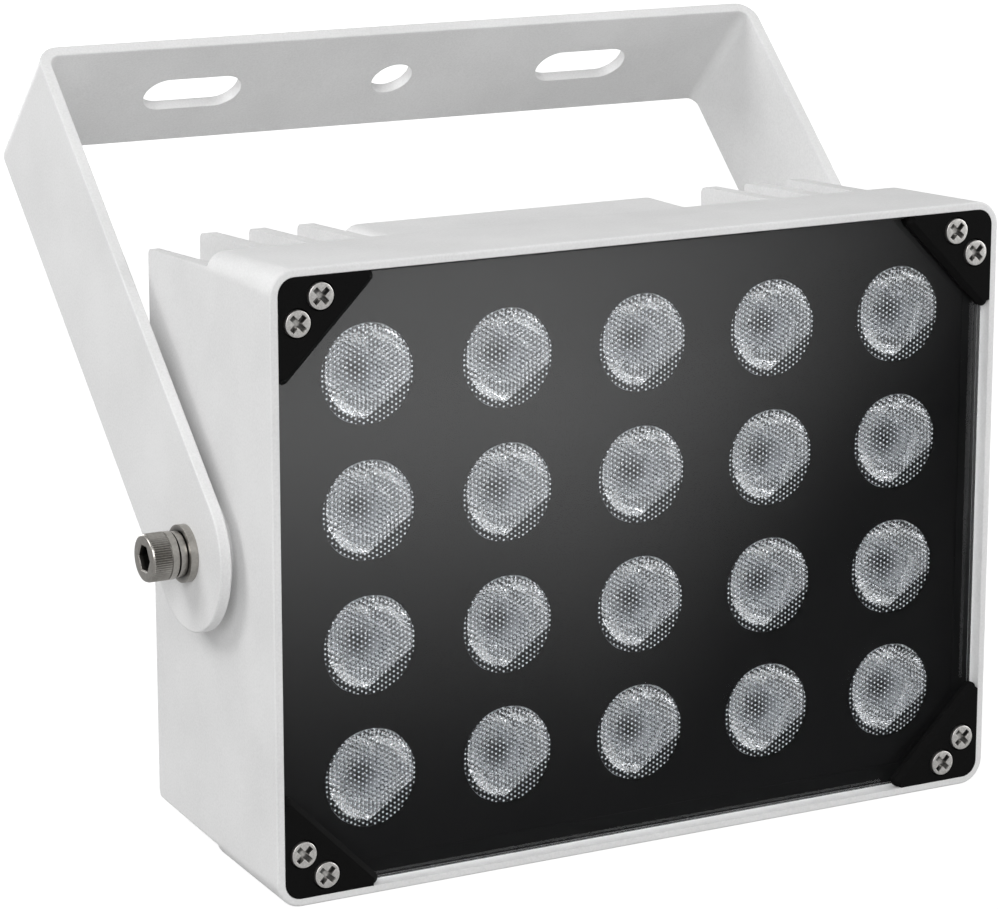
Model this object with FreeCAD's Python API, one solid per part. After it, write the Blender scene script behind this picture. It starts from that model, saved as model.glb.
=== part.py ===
import FreeCAD, Part
import math
import os
from FreeCAD import Vector

# Infrared illuminator on a folded bracket. All sizes are millimetres and degrees.
# Every piece is first built in the housing's own frame: X to the right, Y is the depth behind
# the front rim, Z is the height above the middle of the window. The last step moves all of
# them together, so that the origin is the middle of the drafted underside.

# Housing, one casting
opening_width = 170.5        # inside the rim
opening_height = 127.5
rim_wall = 1.7               # wall between the opening and the outside, at the rim
opening_corner_r = 3.8
draft_deg = 2.4              # all outer sides narrow towards the rear
rim_edge_r = 0.5             # rounding of the rim's outer edge
tray_depth = 33.0            # rim to the rear edge of the closed tray
tray_rear_r = 1.5            # rounding of that rear edge
floor_depth = 22.0           # rim to the floor that the board lies on
ledge_width = 4.0            # ledge that carries the gasket
cavity_draft_deg = 1.0
cavity_corner_r = 3.0
side_fin_depth = 63.8        # rim to the rear edge of the side walls, the outer fins
side_fin_inset = 3.0         # the outer fins stop this far below the tray's top
fin_depth = 59.3             # rim to the rear edge of the inner fins
fin_thickness = 3.2
fin_pitch = 11.3
fins_per_side = 3
fin_corner_r = 1.5
first_fin_x = 50.3           # middle of the inner fin nearest to the block
block_width = 80.0           # plain block between the fins, holds the driver
block_half_height = 61.1
block_depth = 62.4           # rim to the block's rear face
block_edge_r = 4.0
block_wall = 6.0
block_rear_wall = 4.0
pocket_bottom = 50.0         # driver pocket, below and above the middle
pocket_top = 53.0

# Window and its corner clamps
window_recess = 2.2          # glass face behind the rim
glass_thickness = 2.5
glass_clearance = 0.5        # to the opening's wall
glass_edge_bevel = 0.3
gasket_thickness = 1.0
gasket_width = 3.1
clamp_leg = 21.0             # along each side of the opening, from its corner
clamp_clearance = 0.3
clamp_tip_r = 1.2
clamp_bevel = 1.0
clamp_screw_long = 9.3       # screw centre to the far wall and to the near wall
clamp_screw_short = 4.2
boss_overlap = 0.5           # boss and ledge run this far into the casting's wall and floor
boss_leg = 16.0              # corner boss that the clamp is screwed to
boss_gap = 0.2               # boss top behind the glass face, so the clamp bears on the glass
glass_corner_gap = 0.6       # cut corner of the glass to the boss
corner_ledge_leg = 21.0

# M3 screws
m3_r = 1.5
m3_head_r = 2.9
m3_head_height = 1.9
m3_crown_r = 1.2             # rounding round the flat top of the head
m3_tip_bevel = 0.4
m3_recess_width = 0.95
m3_recess_span = 3.3
m3_recess_depth = 1.0
clamp_screw_turn = 45.0      # first recess, and the turn from one screw to the next
clamp_screw_step = 7.0
board_screw_step = 20.0
thread_gap = 0.03            # radial, screw to its threaded hole
clamp_screw_length = 10.0
board_screw_length = 7.0
screw_hole_gap = 0.2         # radial, screw to a plain hole

# Lenses, plate and board
columns = 5
rows = 4
lens_pitch_x = 31.9
lens_pitch_z = 28.0
lens_r = 10.3
lens_gap = 0.2               # behind the glass
lens_flange = 1.4
lens_shoulder_r = 9.7
lens_belly_r = 8.4
lens_foot_r = 5.0
lens_well_r = 3.3
lens_well_depth = 3.6
lens_well_lean = 0.4
lens_well_rise = 0.9
lens_leg_size = 1.2
lens_legs = 3
lens_hole_gap = 0.15
plate_thickness = 1.6
plate_edge_gap = 0.5
plate_leg_r = 2.4
plate_leg_inset = 3.3        # leg's middle to the plate's side edge
plate_corner_gap = 2.0       # cut corner of the plate to the corner ledge
board_thickness = 1.6
board_edge_gap = 1.4
board_corner_gap = 1.5
pad_edge_gap = 2.0
pad_thickness = 0.5
emitter_size = 3.5
emitter_base = 0.8
emitter_dome_r = 1.5
emitter_dome_steps = 3
foot_gap = 1.0               # lens foot above the board, bridged by three legs

# Driver in the rear pocket
driver_width = 56.0
driver_bottom = -22.0
driver_top = 44.0
driver_standoff = 4.0
driver_post_r = 3.2
driver_post_inset = 5.0
driver_screw_spare = 0.6     # screw tip to the foot of its post
driver_screw_step = 30.0
coil_size = 13.0
coil_height = 9.0
coil_bevel = 2.3
capacitor_r = 5.0
capacitor_height = 14.0
capacitor_x = 17.0
capacitor_z = 8.0
capacitor_neck = 2.5         # board to the middle of the rolled neck
capacitor_neck_width = 1.4
capacitor_neck_depth = 0.4
terminal_width = 18.0
terminal_depth = 8.4
terminal_height = 10.0
terminal_z = 35.0
terminal_well_r = 2.0        # screw well
terminal_well_depth = 2.5
terminal_mouth_depth = 4.0   # lead mouth
lead_r = 0.9
lead_x = 4.0
lead_top = 50.0
lead_bend_r = 5.5

# Cable gland in the rear wall
gland_z = -38.0
gland_thread_r = 8.0
gland_flats = 20.0
gland_flange = 5.0
gland_tube_r = 7.4
gland_tube_length = 6.6
gland_bore_r = 4.2
gland_seat_r = 5.55
gland_seat_depth = 5.0
stem_past_nut = 0.6
locknut_height = 3.6
cap_flats = 19.0
cap_hex_height = 7.4
cap_length = 13.4
cap_gap = 0.2                # hexagon of the body to the cap
cap_dome_r = 9.0
cap_shoulder = 1.2           # straight part behind the hexagon
cap_taper_r = 7.9
cap_taper_length = 2.2
cap_nose_r = 6.0
cap_cone_start = 0.3         # tube's end to the inner cone
cap_cone_length = 1.7
hex_land = 0.97              # share of the half flats that stays flat at an end
hex_slope = 0.6
cap_wall_gap = 0.1
cap_mouth_r = 4.3
cap_lip = 1.5
cable_r = 3.5                # bore of the seal
seal_gap = 0.05

# Pivot and bracket
pivot_depth = 31.5
pivot_height = 2.5
pivot_face = 88.8            # face of the cast pad, from the middle plane
pad_r = 11.0
pivot_boss_r = 9.0
arm_gap = 0.1                # pad to arm
bracket_thickness = 2.5
bracket_width = 33.0
bracket_reach = 119.5        # pivot to the outer face of the web
bracket_lean_deg = 45.9      # from upright, towards the rear
bend_inner_r = 2.5
arm_hole_r = 3.1
slot_length = 23.6
slot_width = 10.4
slot_offset = 50.0
web_hole_r = 5.0
bracket_edge_r = 0.35

# M6 pivot screw with its washers
m6_r = 3.0
m6_length = 20.0
m6_head_r = 5.0
m6_head_height = 6.0
m6_head_bevel = 0.5
m6_socket_flats = 5.0
m6_socket_depth = 3.2
washer_r = 6.0
washer_thickness = 1.6
washer_gap = 0.05            # arm to washer, so that the arm turns
washer_bore_gap = 0.2
spring_outer_r = 5.5
spring_wire = 1.4
spring_rise = 0.5
spring_gap = 0.05
spring_turn_deg = 340.0
hole_over_depth = 0.8

# Allowances for building the shapes
overrun = 1.0                # a cutting shape runs this far past the face that it cuts
casting_root = 3.0           # a fin or block starts this far inside the tray
small_root = 0.4             # the same for a small leg or shank
tiny = 1e-6

# Worked out from the values above
draft = math.tan(math.radians(draft_deg))
cavity_draft = math.tan(math.radians(cavity_draft_deg))
half_w = opening_width / 2
half_h = opening_height / 2
rim_half_w = half_w + rim_wall
rim_half_h = half_h + rim_wall
rim_corner_r = opening_corner_r + rim_wall
glass_back = window_recess + glass_thickness
ledge_depth = glass_back + gasket_thickness
cavity_half_w = half_w - ledge_width
cavity_half_h = half_h - ledge_width
pad_front = floor_depth - pad_thickness
board_front = pad_front - board_thickness
lens_front = glass_back + lens_gap
lens_back = board_front - foot_gap
block_inside = block_depth - block_rear_wall
driver_back = block_inside - driver_standoff
driver_front = driver_back - board_thickness
arm_inner = pivot_face + arm_gap
arm_outer = arm_inner + bracket_thickness
washer_face = arm_outer + washer_gap + washer_thickness
head_face = washer_face + spring_wire + spring_rise + spring_gap
glass_cut = boss_leg + glass_corner_gap
side_inner = rim_half_w - tray_depth * draft - fin_thickness
plate_half_w = cavity_half_w - plate_edge_gap - (lens_front + plate_thickness - ledge_depth) * cavity_draft
plate_half_h = plate_half_w - cavity_half_w + cavity_half_h
gland_seat = block_depth + gland_flange
gland_tube_end = gland_seat + gland_tube_length
seal_start = gland_tube_end - gland_seat_depth
cap_start = gland_seat + cap_gap
cap_end = cap_start + cap_length
origin_depth = tray_depth / 2
origin_height = -(rim_half_h - origin_depth * draft)
X_AXIS = Vector(1, 0, 0)
Y_AXIS = Vector(0, 1, 0)
Z_AXIS = Vector(0, 0, 1)


def prism(points, direction):
    """Straight prism on a closed polygon of corner points."""
    face = Part.Face(Part.makePolygon([Vector(*p) for p in points + points[:1]]))
    return face.extrude(direction)


def cylinder(radius, start, direction, length):
    """Round bar from a start point along a direction."""
    return Part.makeCylinder(radius, length, Vector(*start), direction)


def box_between(low, high):
    """Box between two opposite corners."""
    size = [b - a for a, b in zip(low, high)]
    return Part.makeBox(size[0], size[1], size[2], Vector(*low))


def edges_along(shape, axis):
    """Straight edges of a shape that run along an axis."""
    found = []
    for edge in shape.Edges:
        if len(edge.Vertexes) == 2:
            span = edge.Vertexes[1].Point - edge.Vertexes[0].Point
            if abs(abs(span.dot(axis)) - edge.Length) < tiny:
                found.append(edge)
    return found


def edges_at_depth(shape, depth):
    """Edges of a shape that lie wholly at one depth."""
    return [e for e in shape.Edges
            if all(abs(p.y - depth) < tiny for p in [v.Point for v in e.Vertexes] + [e.CenterOfMass])]


def corner_point(centre, radius, degrees, depth):
    """Point on a corner arc in the plane at a depth."""
    angle = math.radians(degrees)
    return Vector(centre[0] + radius * math.cos(angle), depth, centre[1] + radius * math.sin(angle))


def rounded_outline(width, height, radius, depth):
    """Rectangle with arc corners, half width and half height given, in the plane at a depth."""
    edges = []
    first = None
    last = None
    for quarter, (sx, sz) in enumerate([(1, 1), (-1, 1), (-1, -1), (1, -1)]):
        centre = (sx * (width - radius), sz * (height - radius))
        start = 90 * quarter
        a, m, b = [corner_point(centre, radius, start + step, depth) for step in (0, 45, 90)]
        if last is not None:
            edges.append(Part.makeLine(last, a))
        else:
            first = a
        edges.append(Part.Arc(a, m, b).toShape())
        last = b
    edges.append(Part.makeLine(last, first))
    return Part.Wire(edges)


def drafted_body(half_width, half_height, radius, taper, start, end):
    """Solid whose sides lean in by the taper, with cone corners about fixed centres."""
    wires = []
    for depth in (start, end):
        lean = (depth - start) * taper
        wires.append(rounded_outline(half_width - lean, half_height - lean, radius - lean, depth))
    return Part.makeLoft(wires, True, True)


def cut_rectangle(width, height, leg, start, end):
    """Plate with its four corners cut at 45 degrees, half width and half height given."""
    corners = [(width, height - leg), (width - leg, height), (leg - width, height),
               (-width, height - leg), (-width, leg - height), (leg - width, -height),
               (width - leg, -height), (width, leg - height)]
    return prism([(x, start, z) for x, z in corners], Y_AXIS * (end - start))


def corner_prism(sx, sz, leg, inset, start, end):
    """Triangular prism in one corner of the opening, its legs measured from that corner."""
    x0, z0 = sx * (half_w - inset), sz * (half_h - inset)
    points = [(x0, start, z0), (sx * (half_w - leg), start, z0), (x0, start, sz * (half_h - leg))]
    return prism(points, Y_AXIS * (end - start))


def both_corners():
    """Signs of the four corners, with the name of each."""
    return [(-1, 1, "top_left"), (1, 1, "top_right"), (-1, -1, "bottom_left"), (1, -1, "bottom_right")]


def clamp_screw_places():
    """Centres of the eight clamp screws, two in each corner."""
    places = []
    for sx, sz, _ in both_corners():
        for a, b in ((clamp_screw_long, clamp_screw_short), (clamp_screw_short, clamp_screw_long)):
            places.append((sx * (half_w - a), sz * (half_h - b)))
    return places


def board_screw_places():
    """Centres of the six screws that hold the board, between the lenses."""
    return [(sx * 1.5 * lens_pitch_x, row * lens_pitch_z) for sx in (-1, 1) for row in (-1, 0, 1)]


def plate_leg_places():
    """Centres of the legs that stand the lens plate on the board."""
    inner = [(sx * lens_pitch_x / 2, sz * lens_pitch_z) for sx in (-1, 1) for sz in (-1, 1)]
    side = plate_half_w - plate_leg_inset
    outer = [(sx * side, sz * lens_pitch_z) for sx in (-1, 1) for sz in (-1, 1)]
    return inner + outer


def lens_places():
    """Row, column and centre of each lens."""
    places = []
    for row in range(rows):
        for column in range(columns):
            x = (column - (columns - 1) / 2) * lens_pitch_x
            z = ((rows - 1) / 2 - row) * lens_pitch_z
            places.append((row + 1, column + 1, x, z))
    return places


def driver_post_places():
    """Centres of the posts under the driver board."""
    x = driver_width / 2 - driver_post_inset
    return [(sx * x, z) for sx in (-1, 1)
            for z in (driver_bottom + driver_post_inset, driver_top - driver_post_inset)]


def side_height(depth, inset=0.0):
    """Half height of the drafted outside at a depth, less an inset."""
    return rim_half_h - depth * draft - inset


def fin(x_low, x_high, rear, inset):
    """Upright fin behind the tray, its top and bottom on the draft, rear corners rounded."""
    root = tray_depth - casting_root
    points = [(x_low, root, side_height(root, inset)), (x_low, rear, side_height(rear, inset)),
              (x_low, rear, -side_height(rear, inset)), (x_low, root, -side_height(root, inset))]
    body = prism(points, X_AXIS * (x_high - x_low))
    rear_corners = [e for e in edges_along(body, X_AXIS) if e.CenterOfMass.y > rear - tiny]
    return body.makeFillet(fin_corner_r, rear_corners)


def rear_block():
    """Plain block between the fins, its long edges rounded."""
    half = block_width / 2
    body = box_between((-half, tray_depth - casting_root, -block_half_height),
                       (half, block_depth, block_half_height))
    return body.makeFillet(block_edge_r, edges_along(body, Y_AXIS))


def driver_pocket():
    """Hollow in the block, open towards the board."""
    half = block_width / 2 - block_wall
    body = box_between((-half, floor_depth - overrun, -pocket_bottom), (half, block_inside, pocket_top))
    return body.makeFillet(cavity_corner_r, edges_along(body, Y_AXIS))


def pivot_lug(side):
    """Pad outside and thread boss inside one side wall, on the pivot axis."""
    root = first_fin_x + (fins_per_side - 1) * fin_pitch
    centre = (pivot_depth, pivot_height)
    in_wall = side_inner + fin_thickness / 2
    boss = cylinder(pivot_boss_r, (side * root, *centre), X_AXIS * side, in_wall - root)
    pad = cylinder(pad_r, (side * in_wall, *centre), X_AXIS * side, pivot_face - in_wall)
    return boss.fuse(pad)


def housing():
    """Casting: drafted tray, ledge, corner bosses, fins, block and pivot lugs."""
    tray = drafted_body(rim_half_w, rim_half_h, rim_corner_r, draft, 0.0, tray_depth)
    tray = tray.makeFillet(rim_edge_r, edges_at_depth(tray, 0.0))
    tray = tray.makeFillet(tray_rear_r, edges_at_depth(tray, tray_depth))
    envelope = drafted_body(rim_half_w, rim_half_h, rim_corner_r, draft, 0.0, side_fin_depth)
    adds = [rear_block()]
    for side in (-1, 1):
        for index in range(fins_per_side):
            x = side * (first_fin_x + index * fin_pitch)
            adds.append(fin(x - fin_thickness / 2, x + fin_thickness / 2, fin_depth, 0.0))
        x_pair = sorted([side * side_inner, side * rim_half_w])
        adds.append(fin(x_pair[0], x_pair[1], side_fin_depth, side_fin_inset).common(envelope))
        adds.append(pivot_lug(side))
    body = tray.multiFuse(adds)

    mouth = Part.Face(rounded_outline(half_w, half_h, opening_corner_r, -overrun)).extrude(
        Y_AXIS * (ledge_depth + overrun))
    cavity = drafted_body(cavity_half_w, cavity_half_h, cavity_corner_r, cavity_draft, window_recess, floor_depth)
    body = body.cut(mouth.fuse(cavity))

    bosses = []
    for sx, sz, _ in both_corners():
        floor = floor_depth + boss_overlap
        bosses.append(corner_prism(sx, sz, boss_leg, -boss_overlap, window_recess + boss_gap, floor))
        bosses.append(corner_prism(sx, sz, corner_ledge_leg, -boss_overlap, ledge_depth, floor))
    body = body.multiFuse([b.common(envelope) for b in bosses])

    holes = [driver_pocket()]
    hole_r = m3_r + thread_gap
    depth = clamp_screw_length + hole_over_depth
    for x, z in clamp_screw_places():
        holes.append(cylinder(hole_r, (x, 0.0, z), Y_AXIS, depth))
    for x, z in board_screw_places():
        holes.append(cylinder(hole_r, (x, board_front, z), Y_AXIS, board_screw_length + hole_over_depth))
    holes.append(cylinder(gland_thread_r + thread_gap, (0, block_inside - overrun, gland_z), Y_AXIS,
                          block_rear_wall + 2 * overrun))
    for side in (-1, 1):
        tip = head_face - m6_length - hole_over_depth
        holes.append(cylinder(m6_r + thread_gap, (side * tip, pivot_depth, pivot_height),
                              X_AXIS * side, pivot_face + overrun - tip))
    body = body.cut(holes[0])
    body = body.cut(Part.makeCompound(holes[1:]))

    posts = []
    for x, z in driver_post_places():
        post = cylinder(driver_post_r, (x, driver_back, z), Y_AXIS, driver_standoff + small_root)
        posts.append(post.cut(cylinder(hole_r, (x, driver_back - overrun, z), Y_AXIS, driver_standoff + overrun)))
    return body.multiFuse(posts).removeSplitter()


def window():
    """Sheet of glass with cut corners and a fine bevel all round its front."""
    width = half_w - glass_clearance
    height = half_h - glass_clearance
    leg = glass_cut - 2 * glass_clearance
    sheet = cut_rectangle(width, height, leg, window_recess, glass_back)
    return sheet.makeChamfer(glass_edge_bevel, edges_at_depth(sheet, window_recess))


def window_gasket():
    """Flat ring under the edge of the window, on the ledge."""
    width = half_w - glass_clearance
    height = half_h - glass_clearance
    leg = glass_cut - 2 * glass_clearance
    outer = cut_rectangle(width, height, leg, glass_back, ledge_depth)
    # An inward offset shortens a 45 degree cut by this share of the offset
    inner_leg = leg - (2 - math.sqrt(2)) * gasket_width
    inner = cut_rectangle(width - gasket_width, height - gasket_width, inner_leg,
                          glass_back - overrun, ledge_depth + overrun)
    return outer.cut(inner)


def stands_at(edge, x, z):
    """Whether an upright edge stands at one place."""
    point = edge.CenterOfMass
    return abs(point.x - x) + abs(point.z - z) < tiny


def corner_clamp(sx, sz):
    """Three-cornered plate flush with the rim, two screw holes, long edge bevelled."""
    body = corner_prism(sx, sz, clamp_leg, clamp_clearance, 0.0, window_recess)
    corner = (sx * (half_w - clamp_clearance), sz * (half_h - clamp_clearance))
    tips = [e for e in edges_along(body, Y_AXIS) if not stands_at(e, *corner)]
    body = body.makeFillet(clamp_tip_r, tips)
    body = body.makeFillet(opening_corner_r - clamp_clearance,
                           [e for e in edges_along(body, Y_AXIS) if stands_at(e, *corner)])
    long_edge = max(edges_at_depth(body, 0.0), key=lambda e: e.Length)
    body = body.makeChamfer(clamp_bevel, [long_edge])
    for a, b in ((clamp_screw_long, clamp_screw_short), (clamp_screw_short, clamp_screw_long)):
        place = (sx * (half_w - a), -overrun, sz * (half_h - b))
        body = body.cut(cylinder(m3_r + screw_hole_gap, place, Y_AXIS, window_recess + 2 * overrun))
    return body


def pan_screw(length, turn_deg):
    """Cross-recess pan-head screw, head underside at the origin, shank along +Y."""
    flat_r = m3_head_r - m3_crown_r
    side = m3_head_height - m3_crown_r
    lean = m3_crown_r * math.sqrt(0.5)
    corners = [(flat_r, -m3_head_height), (0, -m3_head_height), (0, length), (m3_r - m3_tip_bevel, length),
               (m3_r, length - m3_tip_bevel), (m3_r, 0), (m3_head_r, 0), (m3_head_r, -side)]
    points = [Vector(x, y, 0) for x, y in corners]
    edges = [Part.makeLine(p, q) for p, q in zip(points, points[1:])]
    edges.append(Part.Arc(points[-1], Vector(flat_r + lean, -side - lean, 0), points[0]).toShape())
    screw = Part.Face(Part.Wire(edges)).revolve(Vector(0, 0, 0), Y_AXIS, 360)
    half_span, half_bar = m3_recess_span / 2, m3_recess_width / 2
    bottom = -m3_head_height + m3_recess_depth
    bar = box_between((-half_span, -m3_head_height - overrun, -half_bar), (half_span, bottom, half_bar))
    cross = bar.fuse(bar.rotated(Vector(0, 0, 0), Y_AXIS, 90))
    return screw.cut(cross).rotated(Vector(0, 0, 0), Y_AXIS, turn_deg)


def clamp_screws():
    """The eight clamp screws, heads on the clamps."""
    group = []
    for index, (x, z) in enumerate(clamp_screw_places()):
        turn = clamp_screw_turn + clamp_screw_step * index
        group.append(pan_screw(clamp_screw_length, turn).translated(Vector(x, 0, z)))
    return Part.makeCompound(group)


def board_screws():
    """The six board screws, heads on the board."""
    group = []
    for index, (x, z) in enumerate(board_screw_places()):
        screw = pan_screw(board_screw_length, board_screw_step * index)
        group.append(screw.translated(Vector(x, board_front, z)))
    return Part.makeCompound(group)


def lens():
    """Moulded collimator about its own axis: flange, coned flank, well for the emitter, three legs."""
    flange_back = lens_front + lens_flange
    middle = (flange_back + lens_back) / 2
    well_top = lens_back - lens_well_depth
    body = turned([(0, lens_front), (lens_r, lens_front), (lens_r, flange_back),
                   (lens_shoulder_r, flange_back), (lens_belly_r, middle), (lens_foot_r, lens_back),
                   (lens_well_r, lens_back), (lens_well_r - lens_well_lean, well_top),
                   (0, well_top - lens_well_rise)], 0)
    ring = (lens_foot_r + lens_well_r) / 2
    half = lens_leg_size / 2
    leg = box_between((ring - half, lens_back - small_root, -half), (ring + half, board_front, half))
    legs = [leg.rotated(Vector(0, 0, 0), Y_AXIS, 90 + 360 / lens_legs * index) for index in range(lens_legs)]
    return body.multiFuse(legs)


def lens_plate():
    """Black plate round the lenses, standing on legs on the board."""
    leg = corner_ledge_leg + plate_corner_gap - (half_w - plate_half_w) - (half_h - plate_half_h)
    back = lens_front + plate_thickness
    body = cut_rectangle(plate_half_w, plate_half_h, leg, lens_front, back)
    legs = [cylinder(plate_leg_r, (x, back - small_root, z), Y_AXIS, board_front - back + small_root)
            for x, z in plate_leg_places()]
    body = body.multiFuse(legs)
    holes = [cylinder(lens_r + lens_hole_gap, (x, lens_front - overrun, z), Y_AXIS,
                      plate_thickness + 2 * overrun) for _, _, x, z in lens_places()]
    return body.cut(Part.makeCompound(holes))


def board_sheet(front, back, edge_gap):
    """Sheet on the casting's floor with holes for the screws and the leads."""
    lean = (floor_depth - ledge_depth) * cavity_draft
    width = cavity_half_w - lean - edge_gap
    height = cavity_half_h - lean - edge_gap
    leg = corner_ledge_leg + board_corner_gap - (half_w - width) - (half_h - height)
    body = cut_rectangle(width, height, leg, front, back)
    through = back - front + 2 * overrun
    holes = [cylinder(m3_r + screw_hole_gap, (x, front - overrun, z), Y_AXIS, through)
             for x, z in board_screw_places()]
    holes += [cylinder(lead_r + screw_hole_gap, (side * lead_x, front - overrun, lead_top), Y_AXIS, through)
              for side in (-1, 1)]
    return body.cut(Part.makeCompound(holes))


def led_emitters():
    """Twenty emitters: square base with a clear dome."""
    half = emitter_size / 2
    base_front = board_front - emitter_base
    angles = [math.radians(90 * step / emitter_dome_steps) for step in range(emitter_dome_steps + 1)]
    profile = [(emitter_dome_r * math.cos(a), base_front - emitter_dome_r * math.sin(a)) for a in angles]
    dome = turned(profile[:-1] + [(0, base_front - emitter_dome_r), (0, base_front)], 0)
    group = []
    for _, _, x, z in lens_places():
        base = box_between((x - half, base_front, z - half), (x + half, board_front, z + half))
        group.append(base.fuse(dome.translated(Vector(x, 0, z))))
    return Part.makeCompound(group)


def driver_board():
    """Circuit board on the posts at the back of the pocket."""
    body = box_between((-driver_width / 2, driver_front, driver_bottom),
                       (driver_width / 2, driver_back, driver_top))
    for x, z in driver_post_places():
        body = body.cut(cylinder(m3_r + screw_hole_gap, (x, driver_front - overrun, z), Y_AXIS,
                                 board_thickness + 2 * overrun))
    return body


def driver_screws():
    """Four screws through the driver board into the posts."""
    group = []
    for index, (x, z) in enumerate(driver_post_places()):
        screw = pan_screw(board_thickness + driver_standoff - driver_screw_spare, driver_screw_step * index)
        group.append(screw.translated(Vector(x, driver_front, z)))
    return Part.makeCompound(group)


def driver_inductor():
    """Square shielded choke with bevelled edges."""
    half = coil_size / 2
    body = box_between((-half, driver_front - coil_height, -half), (half, driver_front, half))
    return body.makeChamfer(coil_bevel, edges_along(body, Y_AXIS))


def driver_capacitors():
    """Two can capacitors with a rolled neck."""
    neck = driver_front - capacitor_neck
    half = capacitor_neck_width / 2
    top = driver_front - capacitor_height
    can = turned([(0, driver_front), (capacitor_r, driver_front), (capacitor_r, neck + half),
                  (capacitor_r - capacitor_neck_depth, neck), (capacitor_r, neck - half),
                  (capacitor_r, top), (0, top)], capacitor_z)
    return Part.makeCompound([can.translated(X_AXIS * (side * capacitor_x)) for side in (-1, 1)])


def driver_terminal():
    """Two-way terminal block with screw wells in front and lead mouths on top."""
    half = terminal_width / 2
    low, high = terminal_z - terminal_height / 2, terminal_z + terminal_height / 2
    front = driver_front - terminal_depth
    middle = driver_front - terminal_depth / 2
    body = box_between((-half, front, low), (half, driver_front, high))
    for side in (-1, 1):
        x = side * lead_x
        body = body.cut(cylinder(terminal_well_r, (x, front - overrun, terminal_z), Y_AXIS,
                                 terminal_well_depth + overrun))
        body = body.cut(cylinder(lead_r + seal_gap, (x, middle, high - terminal_mouth_depth), Z_AXIS,
                                 terminal_mouth_depth + overrun))
    return body


def lead(side):
    """Insulated lead: up out of the terminal, one bend, forward through the board."""
    x = side * lead_x
    start_z = terminal_z + terminal_height / 2 - terminal_mouth_depth
    back = driver_front - terminal_depth / 2
    bend_centre = (back - lead_bend_r, lead_top - lead_bend_r)
    middle = (bend_centre[0] + lead_bend_r * math.cos(math.pi / 4),
              bend_centre[1] + lead_bend_r * math.sin(math.pi / 4))
    first = Vector(x, back, bend_centre[1])
    second = Vector(x, bend_centre[0], lead_top)
    edges = [Part.makeLine(Vector(x, back, start_z), first),
             Part.Arc(first, Vector(x, *middle), second).toShape(),
             Part.makeLine(second, Vector(x, board_front, lead_top))]
    ring = Part.Wire([Part.makeCircle(lead_r, Vector(x, back, start_z), Z_AXIS)])
    return Part.Wire(edges).makePipeShell([ring], True, True)


def hexagon(flats, start, end, z):
    """Hexagonal bar along Y."""
    radius = flats / math.sqrt(3)
    points = []
    for index in range(6):
        angle = math.radians(30 + 60 * index)
        points.append((radius * math.cos(angle), start, z + radius * math.sin(angle)))
    return prism(points, Y_AXIS * (end - start))


def turned(profile, z):
    """Turned solid about an axis along Y at height z; the profile is radius and depth pairs."""
    points = [Vector(r, y, 0) for r, y in profile + profile[:1]]
    return Part.Face(Part.makePolygon(points)).revolve(Vector(0, 0, 0), Y_AXIS, 360).translated(Vector(0, 0, z))


def bevel_hexagon(flats, start, end, z, both):
    """Hexagonal bar whose corners are turned off at its outer end, or at both."""
    radius = flats / math.sqrt(3) + tiny
    bevel = radius - flats / 2 * hex_land
    low = [(0, start), (radius, start)]
    if both:
        low = [(0, start), (radius - bevel, start), (radius, start + bevel * hex_slope)]
    profile = low + [(radius, end - bevel * hex_slope), (radius - bevel, end), (0, end)]
    return hexagon(flats, start, end, z).common(turned(profile, z))


def gland_body():
    """Gland body: threaded stem through the rear wall, hexagon outside, tube for the seal."""
    start = block_inside - locknut_height - stem_past_nut
    body = cylinder(gland_thread_r, (0, start, gland_z), Y_AXIS, block_depth + gland_flange / 2 - start)
    body = body.fuse(cylinder(gland_tube_r, (0, start, gland_z), Y_AXIS, gland_tube_end - start))
    body = body.fuse(bevel_hexagon(gland_flats, block_depth, gland_seat, gland_z, False))
    bore_start = start - overrun
    body = body.cut(cylinder(gland_bore_r, (0, bore_start, gland_z), Y_AXIS, gland_tube_end - bore_start))
    return body.cut(cylinder(gland_seat_r, (0, seal_start, gland_z), Y_AXIS, gland_seat_depth + overrun))


def gland_locknut():
    """Hexagon nut on the stem inside the pocket."""
    start = block_inside - locknut_height
    nut = bevel_hexagon(gland_flats, start, block_inside, gland_z, False)
    bore = cylinder(gland_thread_r + thread_gap, (0, start - overrun, gland_z), Y_AXIS,
                    locknut_height + 2 * overrun)
    return nut.cut(bore)


def gland_cap():
    """Domed cap nut over the tube and the seal."""
    hex_end = cap_start + cap_hex_height
    shoulder = hex_end + cap_shoulder
    outer = bevel_hexagon(cap_flats, cap_start, hex_end, gland_z, True)
    dome = turned([(0, hex_end - overrun), (cap_dome_r, hex_end - overrun), (cap_dome_r, shoulder),
                   (cap_taper_r, shoulder + cap_taper_length), (cap_nose_r, cap_end), (0, cap_end)], gland_z)
    tube_r = gland_tube_r + cap_wall_gap
    seal_r = gland_seat_r + seal_gap
    cone = gland_tube_end + cap_cone_start
    hollow = turned([(0, cap_start - overrun), (tube_r, cap_start - overrun), (tube_r, cone),
                     (seal_r, cone + cap_cone_length), (seal_r, cap_end - cap_lip),
                     (cap_mouth_r, cap_end - cap_lip), (cap_mouth_r, cap_end + overrun),
                     (0, cap_end + overrun)], gland_z)
    return outer.fuse(dome).cut(hollow)


def gland_seal():
    """Rubber sleeve that closes on the cable."""
    length = cap_end - cap_lip - seal_start
    sleeve = cylinder(gland_seat_r - seal_gap, (0, seal_start, gland_z), Y_AXIS, length)
    return sleeve.cut(cylinder(cable_r, (0, seal_start - overrun, gland_z), Y_AXIS, length + 2 * overrun))


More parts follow.
